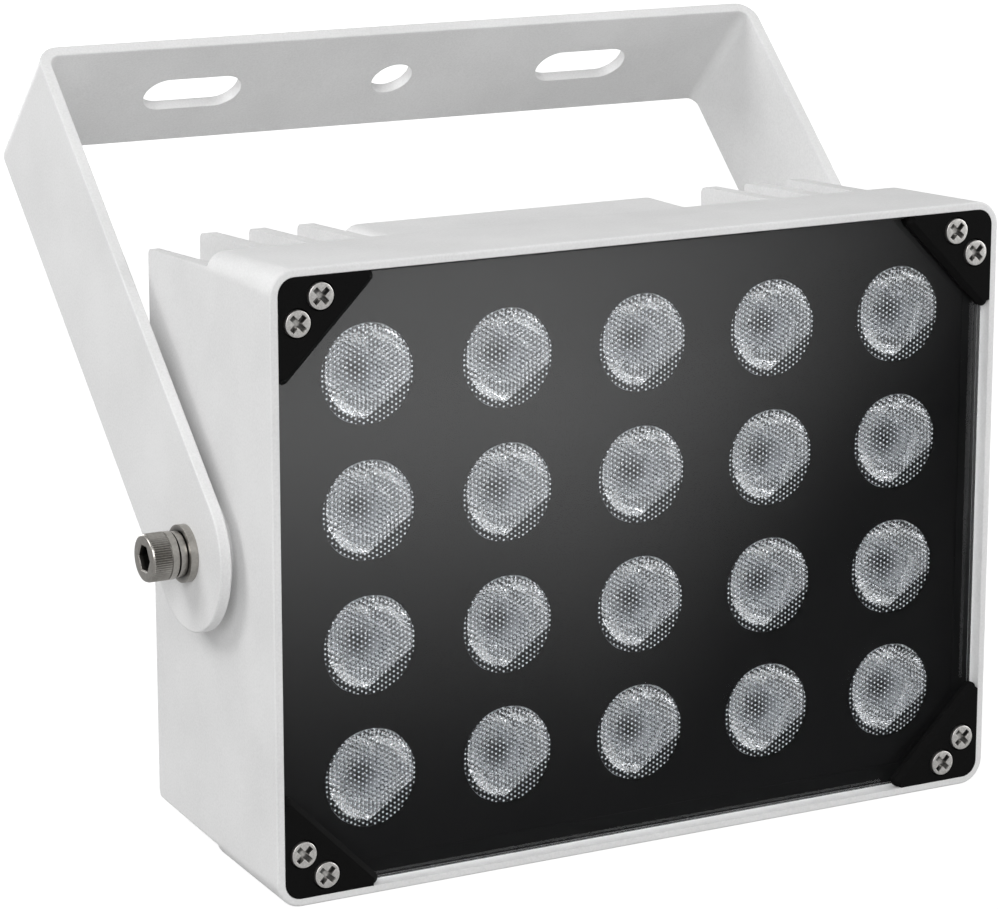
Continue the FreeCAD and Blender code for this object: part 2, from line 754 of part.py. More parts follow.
def bent_channel(half_span, reach, half_width, corner_r):
    """Block with its two upper corners rounded, one wall thickness of the folded strip apart."""
    body = box_between((-half_span, -half_width, -bracket_width), (half_span, half_width, reach))
    upper = [e for e in edges_along(body, Y_AXIS) if e.CenterOfMass.z > 0]
    return body.makeFillet(corner_r, upper)


def bracket_slot(side, start, depth):
    """Cutter of one long slot through the web."""
    reach = (slot_length - slot_width) / 2
    centre = side * slot_offset
    ends = [cylinder(slot_width / 2, (centre + end * reach, 0, start), Z_AXIS, depth) for end in (-1, 1)]
    middle = box_between((centre - reach, -slot_width / 2, start), (centre + reach, slot_width / 2, start + depth))
    return middle.multiFuse(ends)


def bracket():
    """Folded strip: two arms with round ends, a web with two slots and a round hole, leaning back."""
    half = bracket_width / 2
    outer = bent_channel(arm_outer, bracket_reach, half, bend_inner_r + bracket_thickness)
    inner = bent_channel(arm_inner, bracket_reach - bracket_thickness, half + overrun, bend_inner_r)
    strip = outer.cut(inner)
    side = arm_outer + overrun
    round_end = cylinder(half, (-side, 0, 0), X_AXIS, 2 * side)
    upper = box_between((-side, -half, 0), (side, half, bracket_reach + overrun))
    strip = strip.common(round_end.fuse(upper)).removeSplitter()
    strip = strip.makeFillet(bracket_edge_r, strip.Edges)
    below = bracket_reach - bracket_thickness - overrun
    depth = bracket_thickness + 2 * overrun
    tools = [cylinder(arm_hole_r, (-side, 0, 0), X_AXIS, 2 * side),
             cylinder(web_hole_r, (0, 0, below), Z_AXIS, depth)]
    tools += [bracket_slot(end, below, depth) for end in (-1, 1)]
    strip = strip.cut(Part.makeCompound(tools))
    placed = strip.rotated(Vector(0, 0, 0), X_AXIS, -bracket_lean_deg)
    return placed.translated(Vector(0, pivot_depth, pivot_height))


def on_pivot(shape, side):
    """Moves a piece built along +X from the middle plane to one end of the pivot axis."""
    if side < 0:
        shape = shape.rotated(Vector(0, 0, 0), Z_AXIS, 180)
    return shape.translated(Vector(0, pivot_depth, pivot_height))


def pivot_screw(side):
    """Socket head cap screw: shank in the lug, head outside with a hexagon socket."""
    shank = cylinder(m6_r, (head_face - m6_length, 0, 0), X_AXIS, m6_length + small_root)
    head = cylinder(m6_head_r, (head_face, 0, 0), X_AXIS, m6_head_height)
    outer = [e for e in head.Edges if e.CenterOfMass.x > head_face + m6_head_height - tiny]
    head = head.makeChamfer(m6_head_bevel, outer)
    radius = m6_socket_flats / math.sqrt(3)
    points = []
    for index in range(6):
        angle = math.radians(60 * index)
        points.append((head_face + m6_head_height + overrun, radius * math.cos(angle), radius * math.sin(angle)))
    socket = prism(points, -X_AXIS * (m6_socket_depth + overrun))
    return on_pivot(shank.fuse(head).cut(socket), side)


def flat_washer(side):
    """Plain washer against the arm."""
    ring = cylinder(washer_r, (arm_outer + washer_gap, 0, 0), X_AXIS, washer_thickness)
    bore = cylinder(m6_r + washer_bore_gap, (arm_outer, 0, 0), X_AXIS, washer_thickness + overrun)
    return on_pivot(ring.cut(bore), side)


def spring_washer(side):
    """Split spring washer: one turn of square wire, its two ends apart."""
    inner_r = m6_r + washer_bore_gap
    radius = (inner_r + spring_outer_r) / 2
    width = spring_outer_r - inner_r
    turn = spring_turn_deg / 360
    helix = Part.makeHelix(spring_rise / turn, spring_rise, radius)
    half = width / 2
    corners = [(radius - half, 0, 0), (radius + half, 0, 0),
               (radius + half, 0, spring_wire), (radius - half, 0, spring_wire)]
    section = Part.makePolygon([Vector(*c) for c in corners + corners[:1]])
    coil = Part.Wire(helix.Edges).makePipeShell([section], True, True)
    along = coil.rotated(Vector(0, 0, 0), Y_AXIS, 90)
    return on_pivot(along.translated(Vector(washer_face + spring_gap / 2, 0, 0)), side)


def all_parts():
    """Every sub-part by its node name."""
    parts = {"housing": housing(), "window": window(), "window_gasket": window_gasket(),
             "clamp_screws": clamp_screws(), "lens_plate": lens_plate(), "led_emitters": led_emitters(),
             "led_board": board_sheet(board_front, pad_front, board_edge_gap),
             "thermal_pad": board_sheet(pad_front, floor_depth, pad_edge_gap),
             "board_screws": board_screws(), "driver_board": driver_board(),
             "driver_screws": driver_screws(), "driver_inductor": driver_inductor(),
             "driver_capacitors": driver_capacitors(), "driver_terminal": driver_terminal(),
             "gland_body": gland_body(), "gland_locknut": gland_locknut(), "gland_cap": gland_cap(),
             "gland_seal": gland_seal(), "bracket": bracket()}
    for sx, sz, name in both_corners():
        parts["corner_clamp_" + name] = corner_clamp(sx, sz)
    one_lens = lens()
    for row, column, x, z in lens_places():
        parts["lens_%d%d" % (row, column)] = one_lens.translated(Vector(x, 0, z))
    for side, name in ((-1, "left"), (1, "right")):
        parts["lead_" + name] = lead(side)
        parts["pivot_screw_" + name] = pivot_screw(side)
        parts["flat_washer_" + name] = flat_washer(side)
        parts["spring_washer_" + name] = spring_washer(side)
    return parts


def main():
    os.makedirs("parts", exist_ok=True)
    for name, shape in all_parts().items():
        placed = shape.translated(Vector(0, -origin_depth, -origin_height))
        placed.exportStep(os.path.join("parts", name + ".step"))
        print(name, len(placed.Solids), placed.isValid(), round(placed.Volume, 1))


main()
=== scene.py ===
import math

import bpy
from bpy.props import FloatProperty, FloatVectorProperty, IntProperty, PointerProperty
from mathutils import Matrix, Vector


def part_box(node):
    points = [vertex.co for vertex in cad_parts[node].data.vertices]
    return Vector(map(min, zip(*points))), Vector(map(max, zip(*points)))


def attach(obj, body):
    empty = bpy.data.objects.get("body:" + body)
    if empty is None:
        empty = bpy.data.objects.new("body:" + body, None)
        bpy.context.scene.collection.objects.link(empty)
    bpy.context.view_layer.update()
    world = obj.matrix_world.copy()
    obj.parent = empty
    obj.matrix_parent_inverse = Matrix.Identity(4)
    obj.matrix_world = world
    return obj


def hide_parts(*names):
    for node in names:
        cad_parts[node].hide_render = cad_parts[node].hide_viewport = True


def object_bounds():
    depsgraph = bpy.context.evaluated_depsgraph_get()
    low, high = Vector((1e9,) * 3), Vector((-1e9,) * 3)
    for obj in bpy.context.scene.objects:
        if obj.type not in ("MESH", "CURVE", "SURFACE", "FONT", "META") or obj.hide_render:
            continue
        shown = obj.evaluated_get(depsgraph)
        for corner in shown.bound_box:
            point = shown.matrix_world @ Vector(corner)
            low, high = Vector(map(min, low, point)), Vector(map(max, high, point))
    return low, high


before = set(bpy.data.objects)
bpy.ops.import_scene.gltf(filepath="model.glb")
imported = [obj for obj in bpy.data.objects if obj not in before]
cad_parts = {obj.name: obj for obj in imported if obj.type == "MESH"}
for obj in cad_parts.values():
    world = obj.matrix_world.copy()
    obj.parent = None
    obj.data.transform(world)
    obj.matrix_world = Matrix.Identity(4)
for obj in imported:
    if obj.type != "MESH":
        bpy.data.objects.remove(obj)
CAD_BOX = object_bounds()

bl_info = {
    "name": "Infrared Illuminator",
    "version": (1, 0, 0),
    "blender": (4, 5, 0),
    "location": "3D View > Sidebar > Illuminator",
    "description": "Finishes and small parts of an infrared illuminator on a tilting bracket",
    "category": "Object",
}

MM = 0.001
TINY = 0.01 * MM
QUARTER_TURN = math.radians(90)
HOUSING = "housing_body"
BRACKET = "bracket_body"


# Colours and lengths

def linear(code):
    """Linear colour with alpha from an sRGB hex code."""
    values = [int(code[i:i + 2], 16) / 255 for i in (1, 3, 5)]
    return [v / 12.92 if v <= 0.04045 else ((v + 0.055) / 1.055) ** 2.4 for v in values] + [1.0]


def colour_of(value):
    """Colour property as a four-part colour."""
    return list(value) + [1.0]


def per(length):
    """Scale of a pattern on Object coordinates whose features are this long, in metres."""
    return 1.0 / length


# Sizes and colours a user would change

COLOUR = {"subtype": "COLOR", "size": 3, "min": 0, "max": 1}
LENGTH = {"unit": "LENGTH", "subtype": "DISTANCE"}


class CoatSettings(bpy.types.PropertyGroup):
    """White powder coat on the casting and the bracket"""
    colour: FloatVectorProperty(name="Coat", description="Colour of the powder coat",
                                default=linear("#EDEDED")[:3], **COLOUR)
    peel: FloatProperty(name="Peel", description="Width of one swell", default=1.5 * MM, **LENGTH)
    grain: FloatProperty(name="Grain", description="Width of one grain", default=0.45 * MM, **LENGTH)
    edge: FloatProperty(name="Edge", description="Rounding of edges under it", default=0.4 * MM, **LENGTH)


class LensSettings(bpy.types.PropertyGroup):
    """Moulded lenses with a beaded face"""
    pitch: FloatProperty(name="Bead pitch", description="One bead to the next", default=1.05 * MM, **LENGTH)
    height: FloatProperty(name="Bead height", description="Crown above edge", default=0.30 * MM, **LENGTH)
    colour: FloatVectorProperty(name="Lens", description="Tint of the clear plastic",
                                default=linear("#FCFDFE")[:3], **COLOUR)


class ScrewSettings(bpy.types.PropertyGroup):
    """Screws and washers"""
    steel: FloatVectorProperty(name="Clamp screws", description="Colour of the plated screws",
                               default=linear("#E8E6E3")[:3], **COLOUR)
    pivot: FloatVectorProperty(name="Pivot screws", description="Colour of the stainless screws and washers",
                               default=linear("#B3B0AB")[:3], **COLOUR)
    ridges: IntProperty(name="Knurl", description="Ridges round a pivot screw's head", default=60, min=12)
    recess_span: FloatProperty(name="Recess", description="Width of the cross", default=4.3 * MM, **LENGTH)
    recess_bar: FloatProperty(name="Recess wing", description="Width of a wing", default=1.2 * MM, **LENGTH)
    recess_depth: FloatProperty(name="Recess depth", description="Depth of the cross", default=1.15 * MM,
                                **LENGTH)


class StageSettings(bpy.types.PropertyGroup):
    """Camera, lamps and floor"""
    lens: FloatProperty(name="Lens", description="Focal length, in mm", unit="CAMERA", default=136.37)
    yaw: FloatProperty(name="Yaw", description="Turn of the camera to the right", subtype="ANGLE",
                       default=math.radians(29.10))
    pitch: FloatProperty(name="Pitch", description="Fall of the camera's view", subtype="ANGLE",
                         default=math.radians(13.18))
    place: FloatVectorProperty(name="Place", description="Place of the camera", subtype="XYZ", unit="LENGTH",
                               size=3, default=(-0.39880, -0.66857, 0.26269))
    ambient: FloatProperty(name="Ambient", description="Light all round", subtype="FACTOR", default=0.20)
    sheen: FloatProperty(name="Sheen", description="What satin mirrors", subtype="FACTOR", default=0.43)
    power: FloatProperty(name="Lamps", description="Share of full power", subtype="FACTOR", default=1.0)
    floor: FloatVectorProperty(name="Floor", description="Colour of the floor",
                               default=linear("#959595")[:3], **COLOUR)


# Nodes of a material

def add_node(tree, kind, inputs=None, **attributes):
    """Adds one node with its own attributes and its inputs.

    An input is a value, a socket to link it to, or a node whose first output it is linked to."""
    node = tree.nodes.new(kind)
    for name, value in attributes.items():
        setattr(node, name, value)
    for name, value in (inputs or {}).items():
        source = value.outputs[0] if isinstance(value, bpy.types.Node) else value
        if isinstance(source, bpy.types.NodeSocket):
            tree.links.new(source, node.inputs[name])
        else:
            node.inputs[name].default_value = source
    return node


def calculate(tree, operation, *inputs):
    """Math node on up to three inputs."""
    return add_node(tree, "ShaderNodeMath", dict(enumerate(inputs)), operation=operation)


def remap(tree, value, start, end, smooth=False):
    """Node that takes a value from one range to another, evenly or with soft ends."""
    inputs = {"Value": value, "From Min": start[0], "From Max": start[1], "To Min": end[0], "To Max": end[1]}
    return add_node(tree, "ShaderNodeMapRange", inputs,
                    interpolation_type="SMOOTHSTEP" if smooth else "LINEAR")


def mix_shaders(tree, share, first, second):
    """Node that goes over from one shader to another."""
    return add_node(tree, "ShaderNodeMixShader", {0: share, 1: first, 2: second})


def new_material(name, colour):
    """Empty material with its node tree; the colour shows in a plain viewport."""
    material = bpy.data.materials.new(name)
    material.use_nodes = True
    material.node_tree.nodes.clear()
    material.diffuse_color = colour
    return material, material.node_tree


def close_material(tree, shader):
    """Joins a shader to the material's output."""
    add_node(tree, "ShaderNodeOutputMaterial", {"Surface": shader})


def object_coordinates(tree):
    """Object coordinates, in metres."""
    return add_node(tree, "ShaderNodeTexCoord").outputs["Object"]


GRAIN_TONES = (0.3, 0.7)     # noise at which a finish has its second colour, and its first
ROUGH_SPREAD = 0.05
RECESS_FULL = 0.4            # recess attribute from which a finish's painted shade is full


def finish(name, colour, second, grain, relief, roughness, metallic=0.0, specular=0.5, edge=0.0, painted_shade=0.0):
    """Plain finish: two near colours over a grain, relief of a given depth, roughness that follows it.

    A grain finer than the render can show is drawn as coarse as it needs to show.
    Painted shade is the share of the colour taken away where the mesh's recess attribute is full: painted
    shade in hollows."""
    material, tree = new_material(name, colour)
    noise = add_node(tree, "ShaderNodeTexNoise",
                     {"Vector": object_coordinates(tree), "Scale": per(grain), "Detail": 3.0})
    tone = add_node(tree, "ShaderNodeValToRGB", {"Fac": noise})
    low, high = tone.color_ramp.elements
    low.position, high.position = GRAIN_TONES
    low.color, high.color = second, colour
    inputs = {"Base Color": tone, "Metallic": metallic,
              "Roughness": remap(tree, noise, (0, 1), (roughness - ROUGH_SPREAD, roughness + ROUGH_SPREAD))}
    # Painted shade: the colour darkens where the recess attribute marks a hollow
    if painted_shade:
        recess = add_node(tree, "ShaderNodeAttribute", attribute_name="recess").outputs["Fac"]
        kept = remap(tree, recess, (0, RECESS_FULL), (1, 1 - painted_shade))
        inputs["Base Color"] = add_node(tree, "ShaderNodeVectorMath", {0: tone, "Scale": kept},
                                        operation="SCALE")
    if edge:
        inputs["Normal"] = add_node(tree, "ShaderNodeBevel", {"Radius": edge}, samples=4)
    if relief:
        bump = {"Strength": 1.0, "Distance": relief, "Height": noise}
        if edge:
            bump["Normal"] = inputs["Normal"]
        inputs["Normal"] = add_node(tree, "ShaderNodeBump", bump)
    if metallic < 1.0:
        inputs["IOR"] = 1.5
        inputs["Specular IOR Level"] = specular
    close_material(tree, add_node(tree, "ShaderNodeBsdfPrincipled", inputs))
    return material


COAT_PATCH = 14              # swells across one cloudy patch
COAT_DIP = 0.88              # share of the colour left where the grain is darkest
COAT_TONES = (0.30, 0.62)    # sum of patch and grain at which the coat is darkest, and full white
COAT_ROUGHNESS = (0.46, 0.60)
SWELL_HEIGHT = 0.03 * MM
GRAIN_HEIGHT = 0.02 * MM


def powder_coat(name, coat):
    """Polyester powder coat, sprayed and baked: satin white, clouded by soft swells and a fine grain."""
    white = colour_of(coat.colour)
    material, tree = new_material(name, white)
    place = object_coordinates(tree)
    patch = add_node(tree, "ShaderNodeTexNoise",
                     {"Vector": place, "Scale": per(COAT_PATCH * coat.peel), "Detail": 4.0})
    peel = add_node(tree, "ShaderNodeTexNoise", {"Vector": place, "Scale": per(coat.peel), "Detail": 2.0})
    grain = add_node(tree, "ShaderNodeTexNoise", {"Vector": place, "Scale": per(coat.grain), "Detail": 2.0})
    tone = calculate(tree, "MULTIPLY_ADD", grain, 0.5, calculate(tree, "MULTIPLY", patch, 0.5))
    ramp = add_node(tree, "ShaderNodeValToRGB", {"Fac": tone})
    low, high = ramp.color_ramp.elements
    low.position, high.position = COAT_TONES
    low.color, high.color = colour_of([COAT_DIP * v for v in white[:3]]), white
    edge = add_node(tree, "ShaderNodeBevel", {"Radius": coat.edge}, samples=4)
    swell = add_node(tree, "ShaderNodeBump",
                     {"Strength": 1.0, "Distance": SWELL_HEIGHT, "Height": peel, "Normal": edge})
    fine = add_node(tree, "ShaderNodeBump",
                    {"Strength": 1.0, "Distance": GRAIN_HEIGHT, "Height": grain, "Normal": swell})
    rough = remap(tree, grain, (0, 1), COAT_ROUGHNESS)
    shader = add_node(tree, "ShaderNodeBsdfPrincipled",
                      {"IOR": 1.5, "Base Color": ramp, "Roughness": rough, "Normal": fine})
    close_material(tree, shader)
    return material


def clear_shader(tree, tint, ior):
    """Clear solid that bends what is seen through it and lets the lamps through to what it covers."""
    bends = add_node(tree, "ShaderNodeBsdfPrincipled",
                     {"Base Color": tint, "IOR": ior, "Roughness": 0.0, "Transmission Weight": 1.0})
    passes = add_node(tree, "ShaderNodeBsdfTransparent", {"Color": tint})
    path = add_node(tree, "ShaderNodeLightPath")
    return mix_shaders(tree, path.outputs["Is Shadow Ray"], bends, passes)


def window_glass():
    """Toughened float glass, flat from the float bath: clear, and mirrors the room at a low angle."""
    tint = linear("#FAFBFC")
    material, tree = new_material("Toughened float glass", tint)
    close_material(tree, clear_shader(tree, tint, 1.52))
    return material


DARK_FADE = (0.45, 0.55)      # inked attribute across the painted shade's edge
CROWN_DOT = (0.70, 0.90)     # rise of a bead at which its painted highlight starts, and is full


def beaded_acrylic(settings):
    """Optical acrylic, moulded: clear, with a painted highlight on each bead's crown, painted shade behind
    its edge and over the emitter.
    """
    tint = colour_of(settings.colour)
    material, tree = new_material("Optical acrylic, moulded", tint)
    clear = clear_shader(tree, tint, 1.49)
    rise = add_node(tree, "ShaderNodeAttribute", attribute_name="rise").outputs["Fac"]
    inked = add_node(tree, "ShaderNodeAttribute", attribute_name="inked").outputs["Fac"]
    # Painted shade: near-black sheet behind the lens's edge and over the emitter
    painted_black = add_node(tree, "ShaderNodeBsdfPrincipled",
                   {"Base Color": linear("#0C0D0E"), "Roughness": 0.3, "Specular IOR Level": 0.2})
    with_painted_shade = mix_shaders(tree, remap(tree, inked, DARK_FADE, (0, 1)), clear, painted_black)
    # Painted highlight: a silver metal dot on each bead's crown
    glint = add_node(tree, "ShaderNodeBsdfPrincipled",
                     {"Base Color": linear("#D4D8DC"), "Metallic": 1.0, "Roughness": 0.4})
    crown = remap(tree, rise, CROWN_DOT, (0, 1), smooth=True)
    close_material(tree, mix_shaders(tree, crown, with_painted_shade, glint))
    return material


# Meshes

def clear_selection():
    """Leaves edit mode and deselects every object."""
    if bpy.context.object and bpy.context.object.mode != "OBJECT":
        bpy.ops.object.mode_set(mode="OBJECT")
    bpy.ops.object.select_all(action="DESELECT")


def only(piece):
    """Makes one piece the selected and active one."""
    clear_selection()
    piece.select_set(True)
    bpy.context.view_layer.objects.active = piece


def start_edit(piece, mode="FACE"):
    """Opens a piece in edit mode with nothing selected."""
    only(piece)
    bpy.ops.object.mode_set(mode="EDIT")
    bpy.ops.mesh.select_mode(type=mode)
    bpy.ops.mesh.select_all(action="DESELECT")


def end_edit():
    """Goes back to object mode."""
    bpy.ops.object.mode_set(mode="OBJECT")


def pick(piece, kind, test):
    """Selects the faces or vertices for which the test holds, and only those."""
    bpy.ops.object.mode_set(mode="OBJECT")
    mesh = piece.data
    for group in (mesh.vertices, mesh.edges, mesh.polygons):
        group.foreach_set("select", [False] * len(group))
    for item in getattr(mesh, kind):
        item.select = bool(test(item))
    bpy.ops.object.mode_set(mode="EDIT")


def select_all():
    """Selects the whole of the mesh that is open in edit mode."""
    bpy.ops.mesh.select_all(action="SELECT")


def scale_selected(x, y, z, about):
    """Scales what is selected in edit mode about a place."""
    bpy.ops.transform.resize(value=(x, y, z), center_override=about)


def apply_modifier(piece, kind, **values):
    """Adds a modifier, sets it and applies it."""
    only(piece)
    modifier = piece.modifiers.new(kind.title(), kind)
    for name, value in values.items():
        setattr(modifier, name, value)
    bpy.ops.object.modifier_apply(modifier=modifier.name)


def cut_with(piece, tool, operation="DIFFERENCE"):
    """Boolean of a piece with a tool, which is then removed."""
    apply_modifier(piece, "BOOLEAN", operation=operation, object=tool, solver="EXACT")
    bpy.data.objects.remove(tool)


SMOOTH_ANGLE = 32            # degrees under which two faces read as one surface
BEAD_SMOOTH_ANGLE = 38


def smooth_by_angle(piece, degrees=SMOOTH_ANGLE):
    """Shades a piece smooth, apart from edges sharper than an angle."""
    only(piece)
    bpy.ops.object.shade_smooth_by_angle(angle=math.radians(degrees))


def settle(piece, name, material, body, replaced):
    """Names a finished piece, gives it its finish and makes it ride on its body."""
    only(piece)
    bpy.ops.object.transform_apply(location=True, rotation=True, scale=True)
    piece.name = name
    piece.data.name = name
    piece.data.materials.clear()
    piece.data.materials.append(material)
    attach(piece, body)
    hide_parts(*replaced)


def copy_of(piece, matrix):
    """Copy of a piece with its own mesh, moved in its mesh by a matrix."""
    twin = piece.copy()
    twin.data = piece.data.copy()
    bpy.context.scene.collection.objects.link(twin)
    twin.data.transform(matrix)
    return twin


def facing_front(x, y, z):
    """Matrix that sets a piece modelled along Z at a place, its top towards the front."""
    return Matrix.Translation((x, y, z)) @ Matrix.Rotation(QUARTER_TURN, 4, "X")


def merged_copy(node, name, material, body, change=None):
    """Copy of a node's mesh with its loose triangles joined, changed if asked, smooth where it curves."""
    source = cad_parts[node]
    mesh = source.data.copy()
    piece = bpy.data.objects.new(name, mesh)
    bpy.context.scene.collection.objects.link(piece)
    only(piece)
    if mesh.has_custom_normals:
        bpy.ops.mesh.customdata_custom_splitnormals_clear()
    start_edit(piece)
    select_all()
    bpy.ops.mesh.remove_doubles(threshold=1e-6)
    end_edit()
    if change:
        change(piece)
    smooth_by_angle(piece)
    apply_modifier(piece, "WEIGHTED_NORMAL", mode="FACE_AREA", weight=100, keep_sharp=True)
    settle(piece, name, material, body, [node])


def paint(nodes, material):
    """Gives carried-over nodes their finish."""
    for node in nodes:
        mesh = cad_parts[node].data
        mesh.materials.clear()
        mesh.materials.append(material)


def middle_of(node):
    """Middle of a node's box."""
    low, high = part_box(node)
    return (low + high) / 2


def nodes_named(start):
    """Names of the nodes that begin with a word, in order."""
    return sorted(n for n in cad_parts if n.startswith(start))


def stack_rings(rings):
    """Extrudes the selected end face through rings of a radius and a height; starts at the first ring."""
    radius, height = rings[0]
    for next_radius, next_height in rings[1:]:
        bpy.ops.mesh.extrude_region_move(TRANSFORM_OT_translate={"value": (0, 0, next_height - height)})
        share = next_radius / radius
        if abs(share - 1) > 1e-9:
            bpy.ops.transform.resize(value=(share, share, 1))
        radius, height = next_radius, next_height


def turned_bar(vertices, rings):
    """Closed turned bar along Z through rings of a radius and a height, from the bottom up."""
    clear_selection()
    radius, height = rings[0]
    bpy.ops.mesh.primitive_circle_add(vertices=vertices, radius=radius, fill_type="NGON",
                                      location=(0, 0, height))
    piece = bpy.context.object
    bpy.ops.object.transform_apply(location=True)
    start_edit(piece)
    select_all()
    stack_rings(rings)
    end_edit()
    recalculate(piece)
    return piece


def recalculate(piece):
    """Turns every face of a closed piece outwards."""
    start_edit(piece)
    select_all()
    bpy.ops.mesh.normals_make_consistent(inside=False)
    end_edit()


# Lenses

LENS_RADIUS = 10.3 * MM
LENS_FLANGE = 0.5 * MM
LENS_DEPTH = 14.0 * MM       # beaded face to foot
LENS_SHOULDER_R = 10.0 * MM
LENS_BELLY_R = 8.4 * MM
LENS_FOOT_R = 5.0 * MM
LENS_WELL_R = 3.3 * MM
LENS_WELL_TAPER = 0.4 * MM
LENS_WELL_DEPTH = 3.6 * MM
LENS_WELL_RISE = 0.9 * MM
FLANK_STEPS = 10
WELL_RINGS = (0.8, 0.5, 0.2)         # shares of the well's radius on its domed roof
DARK_EDGE_MIDDLE = (0.4 * MM, 0.8 * MM)    # clear part inside the painted shade at the edge, seen from the front
DARK_EDGE_RADIUS = 9.9 * MM
DARK_EDGE_CHORD = 7.3 * MM         # the straight edge of the painted shade, from the lens's axis
DARK_EDGE_CHORD_TURN = math.radians(-55)
SHADE_MIDDLE = (-2.5 * MM, 1.2 * MM)     # middle of a painted dark patch that stands for the emitter seen through the lens, from the front
SHADE_RADIUS = 6.0 * MM
SHADE_SHARE = 0.90


def flank_radius(depth):
    """Radius of the lens's flank at a depth: a parabola through shoulder, belly and foot."""
    start, end = LENS_FLANGE, LENS_DEPTH
    t = (depth - start) / (end - start)
    a = 2 * (LENS_SHOULDER_R + LENS_FOOT_R) - 4 * LENS_BELLY_R
    b = LENS_FOOT_R - LENS_SHOULDER_R - a
    return LENS_SHOULDER_R + b * t + a * t * t


def lens_body():
    """Turned body of one lens along Z: face at the origin, flange, curved flank, well from below."""
    well_top = -LENS_DEPTH + LENS_WELL_DEPTH
    roof_r = LENS_WELL_R - LENS_WELL_TAPER
    rings = [(LENS_RADIUS, 0.0), (LENS_RADIUS, -LENS_FLANGE)]
    for step in range(FLANK_STEPS + 1):
        depth = LENS_FLANGE + (LENS_DEPTH - LENS_FLANGE) * step / FLANK_STEPS
        rings.append((flank_radius(depth), -depth))
    rings += [(LENS_WELL_R, -LENS_DEPTH), (roof_r, well_top)]
    for share in WELL_RINGS:
        rings.append((share * roof_r, well_top + LENS_WELL_RISE * (1 - share ** 2)))
    return turned_bar(96, rings)


CREASE = 0.04                # width of the flat crease round a bead, as a share of half its width
DOME = 0.94                  # radius of a bead's dome, as a share of half its width
DOME_RINGS = (0.76, 0.48, 0.19)      # shares of the dome's radius


def bead_block(pitch, height):
    """Block whose upper face is a field of domed beads in hexagons, their crowns at the origin's height."""
    corner = pitch / math.sqrt(3)
    flat = pitch / 2
    clear_selection()
    bpy.ops.mesh.primitive_circle_add(vertices=6, radius=corner, fill_type="NGON", location=(0, 0, -height),
                                      rotation=(0, 0, QUARTER_TURN))
    piece = bpy.context.object
    bpy.ops.object.transform_apply(location=True, rotation=True)
    start_edit(piece, "EDGE")
    select_all()
    bpy.ops.mesh.subdivide(number_cuts=1)
    bpy.ops.mesh.select_mode(type="FACE")
    select_all()
    bpy.ops.mesh.inset(thickness=CREASE * flat, depth=0)
    bpy.ops.transform.tosphere(value=1)
    end_edit()
    ring = next(v.co.xy.length for v in piece.data.vertices if v.select)
    base = outer = DOME * flat
    start_edit(piece)
    pick(piece, "polygons", lambda f: len(f.vertices) == 12)
    bpy.ops.transform.resize(value=(base / ring, base / ring, 1))
    for share in DOME_RINGS:
        inner = share * base
        lift = height * (outer ** 2 - inner ** 2) / base ** 2
        bpy.ops.mesh.extrude_region_move(TRANSFORM_OT_translate={"value": (0, 0, lift)})
        bpy.ops.transform.resize(value=(inner / outer, inner / outer, 1))
        outer = inner
    select_all()
    bpy.ops.mesh.duplicate_move(TRANSFORM_OT_translate={"value": (1.5 * corner, pitch / 2, 0)})
    end_edit()
    across = math.ceil(LENS_RADIUS / (1.5 * corner)) + 1
    along = 2 * math.ceil(LENS_RADIUS / pitch) + 3
    for count, step in ((across, (3 * corner, 0, 0)), (along, (0, pitch, 0))):
        apply_modifier(piece, "ARRAY", count=count, use_relative_offset=False, use_constant_offset=True,
                       constant_offset_displace=step)
    shift = Vector((-3 * corner * (across // 2), -pitch * (along // 2), 0))
    piece.data.transform(Matrix.Translation(shift))
    start_edit(piece)
    select_all()
    bpy.ops.mesh.remove_doubles(threshold=0.01 * pitch)
    limit = LENS_RADIUS + 1.2 * pitch
    pick(piece, "polygons", lambda f: f.center.xy.length > limit)
    bpy.ops.mesh.delete(type="FACE")
    select_all()
    bpy.ops.mesh.extrude_region_move(TRANSFORM_OT_translate={"value": (0, 0, -2 * LENS_DEPTH)})
    end_edit()
    recalculate(piece)
    return piece


def store(piece, name, values):
    """Keeps one number per vertex on a piece's mesh."""
    piece.data.attributes.new(name, "FLOAT", "POINT").data.foreach_set("value", values)


def is_painted_dark(place):
    """Whether a place on the lens's face has painted shade behind it: outside an off-centre circle cut by a
    chord.
    """
    chord = Vector((math.cos(DARK_EDGE_CHORD_TURN), math.sin(DARK_EDGE_CHORD_TURN)))
    return (place - Vector(DARK_EDGE_MIDDLE)).length > DARK_EDGE_RADIUS or place.dot(chord) > DARK_EDGE_CHORD


def painted_dark_at(place):
    """Painted-dark attribute at a place on the lens's face: full in the painted shade at the edge, part of
    it in the painted dark patch over the emitter.
    """
    if is_painted_dark(place):
        return 1.0
    # Painted shade: a soft dark patch where the emitter would show through the lens
    near = max(0.0, 1 - (place - Vector(SHADE_MIDDLE)).length / SHADE_RADIUS)
    low, high = DARK_FADE
    return low + (high - low) * SHADE_SHARE * near * near * (3 - 2 * near)


def one_lens(settings):
    """One lens along Z: turned body whose face is cut to beads, with the beads' rise and the painted shade
    stored.
    """
    body = lens_body()
    cut_with(body, bead_block(settings.pitch, settings.height), "INTERSECT")
    recalculate(body)
    smooth_by_angle(body, BEAD_SMOOTH_ANGLE)
    points = [v.co.copy() for v in body.data.vertices]
    store(body, "rise", [max(0.0, 1 + p.z / settings.height) for p in points])
    store(body, "inked", [painted_dark_at(p.xy) if p.z > -2 * settings.height else 0.0 for p in points])
    return body


# Screws

